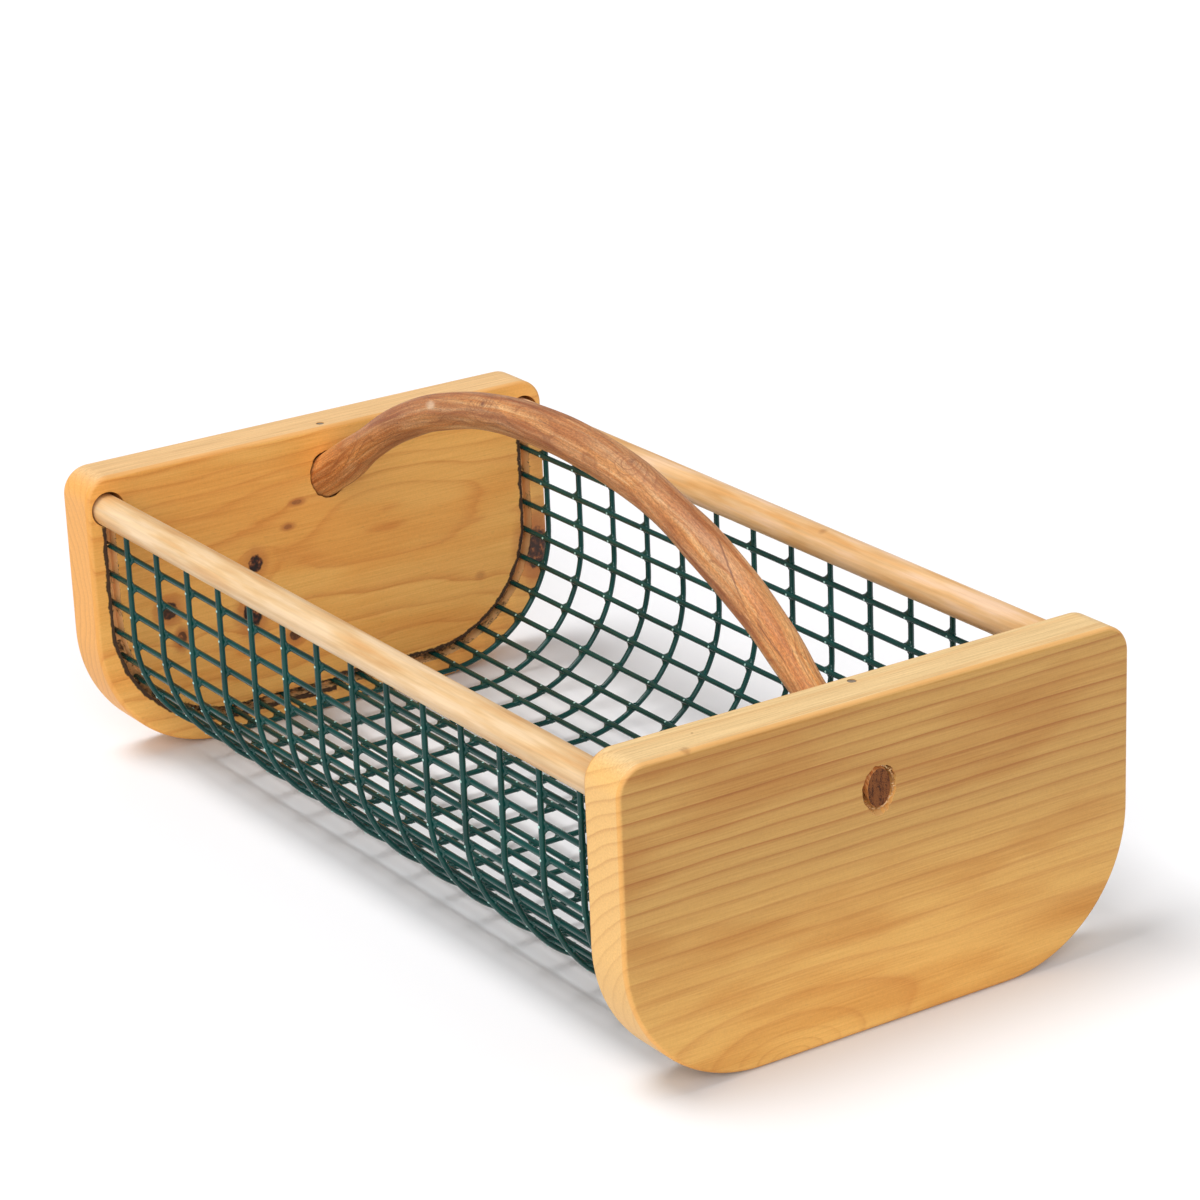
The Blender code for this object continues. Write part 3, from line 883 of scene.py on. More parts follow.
def plate(name: str, outline: Sequence[Flat], centre_x: float, thickness: float,
          edge_round: float = 0.0, edge_steps: int = 0) -> bpy.types.Object:
    """Make a plate that stands across the hod.

    Args:
        name: Name of the plate.
        outline: Its outline, as across and up.
        centre_x: Where its middle lies along the hod.
        thickness: Its thickness along the hod.
        edge_round: Radius of its rounded edges.
        edge_steps: How finely they are rounded.

    Returns:
        A closed mesh object at the origin.
    """
    curve = bpy.data.curves.new(name, "CURVE")
    curve.dimensions = "2D"
    curve.fill_mode = "BOTH"
    curve.extrude = thickness / 2 - edge_round
    curve.bevel_depth = edge_round
    curve.bevel_resolution = edge_steps
    curve.offset = -edge_round
    spline = curve.splines.new("POLY")
    spline.points.add(len(outline) - 1)
    for point, (across, up) in zip(spline.points, outline):
        point.co = (across, up, 0.0, 1.0)
    spline.use_cyclic_u = True
    holder = put_in_scene(name, curve)
    holder.matrix_world = (Matrix.Translation((centre_x, 0, 0))
                           @ Matrix(((0, 0, 1, 0), (1, 0, 0, 0), (0, 1, 0, 0), (0, 0, 0, 1))))
    piece = baked(holder, name)
    welded(piece)
    return piece


def bored(name: str, start: Vector, end: Vector, radius: float, sides: int,
          ragged: float = 0.0) -> bpy.types.Object:
    """Make a round cutter between two points.

    Args:
        name: Name of the cutter.
        start: Middle of one end.
        end: Middle of the other.
        radius: Its radius.
        sides: How many sides it has.
        ragged: How far its wall wanders in and out.

    Returns:
        A closed mesh object at the origin.
    """
    shape = bmesh.new()
    run = end - start
    place = Matrix.Translation((start + end) / 2) @ run.to_track_quat("Z", "Y").to_matrix().to_4x4()
    bmesh.ops.create_cone(shape, cap_ends=True, segments=sides, radius1=radius, radius2=radius,
                          depth=run.length)
    for vertex in shape.verts:
        turn = math.atan2(vertex.co.y, vertex.co.x)
        jag = noise.noise(Vector((math.cos(turn), math.sin(turn), 0.3)) * 5)
        vertex.co.xy *= 1 + jag * ragged / radius
    shape.transform(place)
    return put_in_scene(name, mesh_from(shape, name))


def cut(piece: bpy.types.Object, cutters: Sequence[bpy.types.Object]) -> bpy.types.Object:
    """Cut a solid with others and remove them.

    Args:
        piece: The solid.
        cutters: What is taken away from it.

    Returns:
        The cut solid as a new plain mesh object.
    """
    for cutter in cutters:
        modifier = piece.modifiers.new(cutter.name, "BOOLEAN")
        modifier.operation = "DIFFERENCE"
        modifier.solver = "EXACT"
        modifier.object = cutter
    done = baked(piece, piece.name)
    for cutter in cutters:
        bpy.data.objects.remove(cutter, do_unlink=True)
    return done


def clamped(value: float, low: float = 0.0, high: float = 1.0) -> float:
    """The value, kept between two limits."""
    return min(high, max(low, value))


def arc(centre: Flat, radius: float, start: float, end: float, steps: int) -> list[Flat]:
    """Points of an arc, angles in degrees from across towards up."""
    turns = [math.radians(start + (end - start) * step / steps) for step in range(steps + 1)]
    return [(centre[0] + radius * math.cos(turn), centre[1] + radius * math.sin(turn)) for turn in turns]


@dataclass
class HodSizes:
    """The sizes that more than one piece reads, in metres, as in the solid model."""

    inside_length: float = 362.0 * MM
    board_thickness: float = 21.5 * MM
    board_width: float = 218.0 * MM
    board_height: float = 124.5 * MM
    rail_diameter: float = 12.7 * MM
    rail_side_inset: float = 9.6 * MM
    rail_top_inset: float = 14.4 * MM
    rail_seat: float = 12.0 * MM
    rail_settles: float = 0.6 * MM
    rail_slot: float = 6.0 * MM
    wire_diameter: float = 2.3 * MM
    weld_depth: float = 0.4 * MM
    mesh_side_inset: float = 8.9 * MM
    mesh_floor: float = 10.3 * MM
    mesh_bend: float = 52.7 * MM
    kerf_width: float = 4.2 * MM
    kerf_depth: float = 6.0 * MM
    handle_slope: float = math.radians(30.0)
    handle_below_top: float = 33.0 * MM
    handle_far_offset: float = 3.2 * MM
    handle_near_offset: float = -1.6 * MM
    handle_far_diameter: float = 17.0 * MM
    handle_near_diameter: float = 12.4 * MM
    handle_far_clearance: float = 0.6 * MM
    handle_near_clearance: float = 1.2 * MM
    handle_near_sag: Flat = (-0.9 * MM, -1.2 * MM)

    @property
    def inner_x(self) -> float:
        """How far the boards' inner faces lie from the middle."""
        return self.inside_length / 2

    @property
    def outer_x(self) -> float:
        """How far the boards' outer faces lie from the middle."""
        return self.inner_x + self.board_thickness

    @property
    def rail_y(self) -> float:
        """How far the rails' axes lie from the middle."""
        return self.board_width / 2 - self.rail_side_inset

    @property
    def rail_z(self) -> float:
        """Height of the rails' axes."""
        return self.board_height - self.rail_top_inset

    @property
    def wire_offset(self) -> float:
        """How far a wire's axis lies from the middle of the mesh's thickness."""
        return (self.wire_diameter - self.weld_depth) / 2

    @property
    def mesh_y(self) -> float:
        """How far the mesh's walls lie from the middle."""
        return self.board_width / 2 - self.mesh_side_inset

    def handle_y(self, x: float) -> float:
        """How far the handle's axis lies to the right, at a place along the hod."""
        share = (x + self.outer_x) / (2 * self.outer_x)
        return self.handle_far_offset + (self.handle_near_offset - self.handle_far_offset) * share

    def handle_end(self, end: End, reach: float) -> Vector:
        """A point of the handle's straight end.

        Args:
            end: Which end.
            reach: Distance along the hod outwards from the board's outer face.

        Returns:
            The point on the handle's axis.
        """
        x = end.value * (self.outer_x + reach)
        drop = reach * math.tan(self.handle_slope)
        aside, lower = self.handle_near_sag if end is End.NEAR else (0.0, 0.0)
        return Vector((x, self.handle_y(x) + aside,
                       self.board_height - self.handle_below_top - drop + lower))

    def handle_hole_radius(self, end: End) -> float:
        """Radius of a board's handle hole.

        Args:
            end: Which board.

        Returns:
            The radius.
        """
        if end is End.FAR:
            return self.handle_far_diameter / 2 + self.handle_far_clearance
        return self.handle_near_diameter / 2 + self.handle_near_clearance

    def mesh_path(self, offset: float, top: float, steps: int = 24) -> list[Flat]:
        """The mesh's U seen from the end.

        Args:
            offset: How far outwards it is moved.
            top: Height of its two ends.
            steps: Steps of each bend.

        Returns:
            Points from the left end round to the right end, as across and up.
        """
        flat = self.mesh_y - self.mesh_bend
        middle = self.mesh_floor + self.mesh_bend
        side = self.mesh_y + offset
        bend = self.mesh_bend + offset
        return ([(-side, top)] + arc((-flat, middle), bend, 180, 270, steps)
                + arc((flat, middle), bend, 270, 360, steps) + [(side, top)])


def along_path(path: Sequence[Flat], spacing: float) -> list[tuple[Flat, Flat]]:
    """Walk along a path in even steps.

    Args:
        path: Its corners.
        spacing: Length of a step.

    Returns:
        Each place with the unit direction that lies to the right of the way there.
    """
    places: list[tuple[Flat, Flat]] = []
    left = 0.0
    for (ay, az), (by, bz) in zip(path, path[1:]):
        run = math.hypot(by - ay, bz - az)
        if run < 1e-9:
            continue
        step = (by - ay) / run, (bz - az) / run
        while left <= run:
            places.append(((ay + step[0] * left, az + step[1] * left), (step[1], -step[0])))
            left += spacing
        left -= run
    return places


@dataclass
class EndBoards:
    """The two pine end boards, with their kerfs, rail holes and handle holes."""

    sizes: HodSizes
    bottom_radius: float = 55.0 * MM
    top_radius: float = 11.0 * MM
    edge_round: float = 2.0 * MM
    overrun: float = 8.0 * MM
    rail_hole_clearance: float = 0.95 * MM
    ragged: float = 0.45 * MM
    ragged_spacing: float = 1.1 * MM
    ragged_scale: float = 700.0
    ragged_finer: float = 2.7
    ragged_hole: float = 1.6
    sharp_angle: float = math.radians(35.0)
    ragged_below: float = 62.0 * MM
    nail_from_inner_face: float = 5.2 * MM
    nail_seat: float = 1.2 * MM
    nail_seat_radius: float = 1.7 * MM
    nail_hole_radius: float = 1.25 * MM
    nail_hole_depth: float = 31.0 * MM
    torn_radius: float = 5.2 * MM
    torn_drop: float = 4.0 * MM
    torn_depth: float = 2.5 * MM

    def outline(self) -> list[Flat]:
        """The board's outline, from the right end of its bottom edge round to the left.

        Returns:
            Points as across and up.
        """
        half, tall = self.sizes.board_width / 2, self.sizes.board_height
        low, top = self.bottom_radius, self.top_radius
        return (arc((half - low, low), low, -90, 0, 36) + arc((half - top, tall - top), top, 0, 90, 14)
                + arc((-half + top, tall - top), top, 90, 180, 14)
                + arc((-half + low, low), low, 180, 270, 36))

    def kerf(self, end: End) -> bpy.types.Object:
        """The kerf's cutter, with ragged sides.

        Args:
            end: Which board it is for.

        Returns:
            The cutter.
        """
        sizes = self.sizes
        sides: list[list[Flat]] = []
        for number, wall in enumerate((1, -1)):
            path = sizes.mesh_path(-sizes.wire_offset, sizes.rail_z)
            points = []
            for (across, up), (right, rise) in along_path(path, self.ragged_spacing):
                spot = Vector((across, up, end.value * 0.1 + number)) * self.ragged_scale
                jag = noise.noise(spot) * 0.6 + noise.noise(spot * self.ragged_finer) * 0.4
                jag *= 1 + max(0.0, 1 - up / self.ragged_below)
                reach = wall * (sizes.kerf_width / 2 + jag * self.ragged)
                points.append((across + right * reach, up + rise * reach))
            sides.append(points)
        outline = sides[0] + sides[1][::-1]
        depth = sizes.kerf_depth + self.overrun
        centre = end.value * (sizes.inner_x + sizes.kerf_depth - depth / 2)
        return plate("kerf_cutter", outline, centre, depth)

    def build(self, end: End, finish: SawnPine) -> bpy.types.Object:
        """Build one board.

        Args:
            end: Which board.
            finish: Its wood.

        Returns:
            The finished board.
        """
        sizes = self.sizes
        name = f"{end.name.lower()}_pine_board"
        middle = end.value * (sizes.inner_x + sizes.board_thickness / 2)
        board = plate(name, self.outline(), middle, sizes.board_thickness, self.edge_round, 4)
        cutters = [self.kerf(end)]
        for side in Side:
            start = Vector((end.value * (sizes.inner_x - self.overrun), side.value * sizes.rail_y,
                            sizes.rail_z + sizes.rail_settles))
            run = Vector((end.value * (sizes.rail_seat + self.overrun), 0, 0))
            radius = sizes.rail_diameter / 2 + self.rail_hole_clearance
            cutters.append(bored(f"rail_hole_{side.name.lower()}", start, start + run, radius, 64))
        start = sizes.handle_end(end, self.overrun)
        stop = sizes.handle_end(end, -sizes.board_thickness - self.overrun)
        cutters.append(bored("handle_hole", start, stop, sizes.handle_hole_radius(end), 96,
                             self.ragged))
        if end is End.NEAR:
            drop = Vector((0, 0, self.torn_drop))
            stop = sizes.handle_end(end, -self.torn_depth)
            cutters.append(bored("torn_lip", start - drop, stop - drop, self.torn_radius, 64,
                                 self.ragged * self.ragged_hole))
        x = end.value * (sizes.inner_x + self.nail_from_inner_face)
        top = Vector((x, sizes.handle_y(x), sizes.board_height + self.overrun))
        for name_of_hole, radius, depth in (("nail_seat", self.nail_seat_radius, self.nail_seat),
                                            ("nail_hole", self.nail_hole_radius, self.nail_hole_depth)):
            low = Vector((x, top.y, sizes.board_height - depth))
            cutters.append(bored(name_of_hole, top, low, radius, 24))
        board = cut(board, cutters)
        welded(board)
        board.data.materials.clear()
        board.data.materials.append(finish.make())
        board.data.shade_smooth()
        board.data.set_sharp_from_angle(angle=self.sharp_angle)
        weighted = board.modifiers.new("even shading", "WEIGHTED_NORMAL")
        weighted.keep_sharp = True
        weighted.weight = 100
        return board


@dataclass
class SideRails:
    """The two dowel rails, each with a slot below that takes the tops of the hoops."""

    sizes: HodSizes
    end_gap: float = 0.4 * MM
    slot_gap: float = 0.35 * MM
    slot_clear: float = 1.12
    wander_share: float = 0.006
    wander_scale: Point = (25.0, 60.0, 60.0)
    sharp_angle: float = math.radians(40.0)
    sides: int = 72
    steps: int = 90

    def finish(self, side: Side) -> TurnedDowel:
        """The wood of one rail.

        Args:
            side: Which rail.

        Returns:
            Its finish.
        """
        if side is Side.LEFT:
            return TurnedDowel("turned_dowel_left", -1.7, "E8C89F", "DDB785", "D4A268")
        return TurnedDowel("turned_dowel_right", 1.7, "ECC5A0", "E4B781", "D8A05E",
                           pin=(0.03698, 0.09738, 0.11612))

    def section(self, side: Side) -> list[Flat]:
        """The rail's section about its axis, with its slot.

        Args:
            side: Which rail.

        Returns:
            Points as across and up.
        """
        radius = self.sizes.rail_diameter / 2
        middle = side.value * (self.sizes.mesh_y + self.sizes.wire_offset - self.sizes.rail_y)
        half = self.sizes.wire_diameter / 2 + self.slot_gap
        roof = self.sizes.rail_slot - radius
        points = []
        for number in range(self.sides):
            turn = 2 * math.pi * number / self.sides
            across, up = radius * math.cos(turn), radius * math.sin(turn)
            if up < 0 and abs(across - middle) < half * self.slot_clear:
                continue
            points.append((across, up))
        start = next(place for place, point in enumerate(points)
                     if point[1] < 0 and point[0] > middle and points[place - 1][0] < middle)
        low = [(middle + edge * half, -math.sqrt(radius ** 2 - (middle + edge * half) ** 2))
               for edge in (-1, 1)]
        slot = [low[0], (middle - half, roof), (middle + half, roof), low[1]]
        return points[:start] + slot + points[start:]

    def build(self, side: Side) -> bpy.types.Object:
        """Build one rail.

        Args:
            side: Which rail.

        Returns:
            The finished rail.
        """
        sizes = self.sizes
        name = f"{side.name.lower()}_dowel_rail"
        half = sizes.inner_x + sizes.rail_seat - self.end_gap
        section = self.section(side)
        shape = bmesh.new()
        rings = []
        for step in range(self.steps + 1):
            x = -half + 2 * half * step / self.steps
            ring = []
            for across, up in section:
                spot = Vector((x, across, up)) * Vector(self.wander_scale)
                swell = 1 + noise.noise(spot) * self.wander_share
                ring.append(shape.verts.new((x, side.value * sizes.rail_y + across * swell,
                                             sizes.rail_z + up * swell)))
            rings.append(ring)
        loft(shape, rings)
        bmesh.ops.recalc_face_normals(shape, faces=shape.faces)
        mesh = mesh_from(shape, name)
        mesh.shade_smooth()
        mesh.set_sharp_from_angle(angle=self.sharp_angle)
        rail = put_in_scene(name, mesh)
        mesh.materials.append(self.finish(side).make())
        return rail


@dataclass
class StickHandle:
    """The bent stick: its axis, its faceted section and its two sawn ends."""

    sizes: HodSizes
    diameter: float = 15.2 * MM
    rise: float = 75.5 * MM
    straight_end: float = 14.0 * MM
    overrun: float = 8.0 * MM
    flush_gap: float = 0.2 * MM
    sides: int = 64
    facets: int = 9
    facet_share: float = 0.45
    near_pared: float = 0.22
    slice_fade: float = 95.0
    slice_dark: float = 42.0
    slice_turn: float = 90.0
    slice_start: float = 107.0
    slice_wind: float = 2.4
    slice_turn_last: float = 200.0
    slice_light: float = 0.3
    slice_shade: float = 0.16
    slice_step: float = 0.15
    slice_soft_turn: float = 5.0
    slice_soft_start: float = 8.0
    first_slice_turns: Flat = (105.0, 90.0)
    first_slice_places: Flat = (-42.0, 30.0)
    tone_level: float = 0.26
    tone_own: float = 0.35
    tone_own_scale: Flat = (3.7, 14.0)
    painted_underside_light: float = 0.4
    tone_ends: float = 0.82
    sharp_angle: float = math.radians(50.0)
    facet_sway: Flat = (0.5, 21.0)
    facet_wind: float = 2.5
    facet_level: float = 0.97
    uneven: float = 0.022
    uneven_scale: Flat = (1.3, 45.0)
    knots: tuple[Point, ...] = ((-43.5, -4.1, 169.3), (54.7, -1.1, 169.8))
    # A pale spot of wear on top of the stick, which is also a painted highlight.
    wear_highlight_place: Point = (-82.5, -4.5, 159.2)
    wear_highlight_squash: float = 0.55
    wear_highlight_most: float = 0.6
    wear_highlight_fade: Flat = (2.6, 0.8)
    path_shares: tuple[tuple[float, float, float], ...] = (
        (-0.79, 0.370, 0.93), (-0.63, 0.622, 0.98), (-0.41, 0.850, 0.97), (-0.25, 0.948, 0.96),
        (-0.05, 1.000, 1.03), (0.14, 0.987, 1.06), (0.28, 0.937, 1.04), (0.42, 0.843, 0.96),
        (0.55, 0.712, 1.05), (0.66, 0.570, 1.04), (0.78, 0.372, 0.97))

    def controls(self) -> list[tuple[Vector, float]]:
        """The points that the axis is drawn through.

        Returns:
            Each point with the stick's radius there, from the far end to the near end.
        """
        sizes = self.sizes
        low = sizes.handle_end(End.FAR, -sizes.board_thickness).z
        top = sizes.board_height - sizes.handle_below_top + self.rise
        reaches = (self.overrun, -sizes.board_thickness, -sizes.board_thickness - self.straight_end)
        points = [(sizes.handle_end(End.FAR, reach), sizes.handle_far_diameter / 2) for reach in reaches]
        for along, rise, thickness in self.path_shares:
            x = along * sizes.inner_x
            place = Vector((x, sizes.handle_y(x), low + rise * (top - low)))
            points.append((place, thickness * self.diameter / 2))
        points += [(sizes.handle_end(End.NEAR, reach), sizes.handle_near_diameter / 2)
                   for reach in reversed(reaches)]
        return points

    def axis(self, steps: int = 18) -> list[tuple[Vector, float]]:
        """The smooth axis.

        Args:
            steps: Steps between two control points.

        Returns:
            Points along the axis with the radius at each.
        """
        controls = self.controls()
        curve = bpy.data.curves.new("handle_axis", "CURVE")
        curve.dimensions = "3D"
        curve.resolution_u = steps
        spline = curve.splines.new("BEZIER")
        spline.bezier_points.add(len(controls) - 1)
        for knot, (place, _) in zip(spline.bezier_points, controls):
            knot.co = place
            knot.handle_left_type = "AUTO"
            knot.handle_right_type = "AUTO"
        line = baked(put_in_scene("handle_axis", curve), "handle_axis")
        points = [vertex.co.copy() for vertex in line.data.vertices]
        bpy.data.objects.remove(line, do_unlink=True)
        radii = [radius for _, radius in controls]
        result = []
        for number, place in enumerate(points):
            span, share = divmod(number / steps, 1.0)
            span = int(min(span, len(radii) - 1))
            following = radii[min(span + 1, len(radii) - 1)]
            share = share * share * (3 - 2 * share)
            result.append((place, radii[span] + (following - radii[span]) * share))
        return result

    def build(self) -> bpy.types.Object:
        """Build the stick.

        Returns:
            The finished stick.
        """
        limit = self.sizes.outer_x - self.flush_gap
        line = [(place, radius) for place, radius in self.axis() if abs(place.x) < limit + 3 * MM]
        shape = bmesh.new()
        layers = shape.verts.layers
        straightened, slice_layer = (layers.float_vector.new(name)
                                     for name in ("straightened", "slice_place"))
        knot_layer, tone_and_light_layer, wear_and_highlight_layer = (layers.float.new(name)
                                               for name in ("knot_away", "facet_tone", "worn"))
        rings = []
        walked = 0.0
        for number, (place, radius) in enumerate(line):
            before = line[max(number - 1, 0)][0]
            after = line[min(number + 1, len(line) - 1)][0]
            if number:
                walked += (place - before).length
            forward = (after - before).normalized()
            across = Vector((0, 1, 0))
            across = (across - forward * across.dot(forward)).normalized()
            up = forward.cross(across)
            ring = []
            for side in range(self.sides):
                turn = 2 * math.pi * side / self.sides
                wide = self.section_radius(turn, walked, radius)
                out = across * math.cos(turn) * self.slimness(place.x) + up * math.sin(turn)
                spot = place + out * wide
                if abs(spot.x) > limit:
                    spot += forward * ((math.copysign(limit, spot.x) - spot.x) / forward.x)
                corner = shape.verts.new(spot)
                corner[straightened] = Vector(
                    (math.cos(turn) * wide, math.sin(turn) * wide, walked)) / MM
                corner[knot_layer] = self.knot_away(spot)
                corner[tone_and_light_layer] = self.facet_tone(turn, walked, spot.x)
                corner[wear_and_highlight_layer] = self.wear_and_highlight_at(spot)
                corner[slice_layer] = self.slice_place(turn, wide, spot.x)
                ring.append(corner)
            rings.append(ring)
        for cap in loft(shape, rings):
            cap.material_index = 1
        bmesh.ops.remove_doubles(shape, verts=shape.verts, dist=0.001 * MM)
        bmesh.ops.recalc_face_normals(shape, faces=shape.faces)
        mesh = mesh_from(shape, "stick_handle")
        mesh.shade_smooth()
        mesh.set_sharp_from_angle(angle=self.sharp_angle)
        mesh.materials.append(PeeledStick("peeled_hardwood").make())
        mesh.materials.append(StickEnd("sawn_end_grain").make())
        return put_in_scene("stick_handle", mesh)

    def slimness(self, x: float) -> float:
        """Width of the section as a share of its height: the near end was pared on both sides."""
        pared = (x - self.sizes.inner_x) / self.sizes.board_thickness + 0.6
        return 1 - self.near_pared * clamped(pared)

    def facet_turn(self, turn: float, walked: float) -> float:
        """Angle round the stick, counted in facets.

        Args:
            turn: Angle round the stick.
            walked: Distance along it.

        Returns:
            The count, from the first facet's edge; the facets wind round the stick.
        """
        sway, rate = self.facet_sway
        turned = turn + sway * math.sin(walked * rate) + walked * self.facet_wind
        return turned * self.facets / (2 * math.pi)

    def section_radius(self, turn: float, walked: float, radius: float) -> float:
        """Radius of the knife-cut section.

        Args:
            turn: Angle round the stick.
            walked: Distance along it.
            radius: Its plain radius there.

        Returns:
            The radius with facets and unevenness.
        """
        half = math.pi / self.facets
        inside = (self.facet_turn(turn, walked) % 1.0 - 0.5) * 2 * half
        facet = math.cos(half) / math.cos(inside)
        around, along = self.uneven_scale
        spot = Vector((math.cos(turn) * around, math.sin(turn) * around, walked * along))
        rough = noise.noise(spot)
        return radius * (1 + self.facet_share * (facet - self.facet_level) + self.uneven * rough)

    def facet_tone(self, turn: float, walked: float, x: float) -> float:
        """How light a point of the stick is.

        Args:
            turn: Angle round the stick.
            walked: Distance along it.
            x: Place along the hod.

        Returns:
            From 0 for dark to 1 for light: each facet has its own, the underside is painted lighter to
                lift its shade, and the ends are lighter.
        """
        facet = math.floor(self.facet_turn(turn, walked)) % self.facets
        apart, rate = self.tone_own_scale
        own = noise.noise(Vector((facet * apart, walked * rate, 0.5)))
        # Painted light: the underside gets a lift, to lighten the shade that falls there.
        below = max(0.0, -math.sin(turn))
        ends = abs(x / self.sizes.inner_x) ** 3
        past = (x - self.slice_edge(turn)) / MM
        if past > 0:
            slice_tone = self.slice_light * max(0.0, 1 - past / self.slice_fade)
        else:
            slice_tone = -self.slice_shade * max(0.0, 1 + past / self.slice_dark)
        beside = clamped((self.slice_turn_at(x) - math.degrees(turn)) / self.slice_soft_turn, -1.0)
        slice_tone += self.slice_step * beside * clamped((x / MM - self.slice_start)
                                                         / self.slice_soft_start)
        return clamped(self.tone_level + self.tone_own * own + self.painted_underside_light * below
                       + self.tone_ends * ends + slice_tone)

    def slice_turn_at(self, x: float) -> float:
        """Angle round the stick, in degrees, of the low knife slice's edge at a place along the hod."""
        wound = self.slice_wind * (x / MM - self.slice_start)
        return min(self.slice_turn_last, self.slice_turn + wound)

    def slice_place(self, turn: float, wide: float, x: float) -> Vector:
        """A point's place from the low slice's edge in millimetres: beside it, above it and along."""
        past = turn - math.radians(self.slice_turn_at(x))
        return Vector((math.sin(past) * wide, math.cos(past) * wide, x)) / MM

    def slice_edge(self, turn: float) -> float:
        """Where the long knife slice beside the first knot begins.

        Args:
            turn: Angle round the stick.

        Returns:
            The place along the hod.
        """
        start, span = self.first_slice_turns
        place, run = self.first_slice_places
        return (place + run * clamped((math.degrees(turn) - start) / span)) * MM

    def knot_away(self, spot: Vector) -> float:
        """Distance from a point of the stick to its nearest knot, in millimetres."""
        return min((spot / MM - Vector(centre)).length for centre in self.knots)

    def wear_and_highlight_at(self, spot: Vector) -> float:
        """How pale the wood is on the spot of wear on top, which is also a painted highlight.

        Args:
            spot: A point of the stick.

        Returns:
            The strength of the pale spot, from 0 to 0.6.
        """
        away = spot / MM - Vector(self.wear_highlight_place)
        away.x *= self.wear_highlight_squash
        full, fade = self.wear_highlight_fade
        return clamped(full - away.length / fade) * self.wear_highlight_most


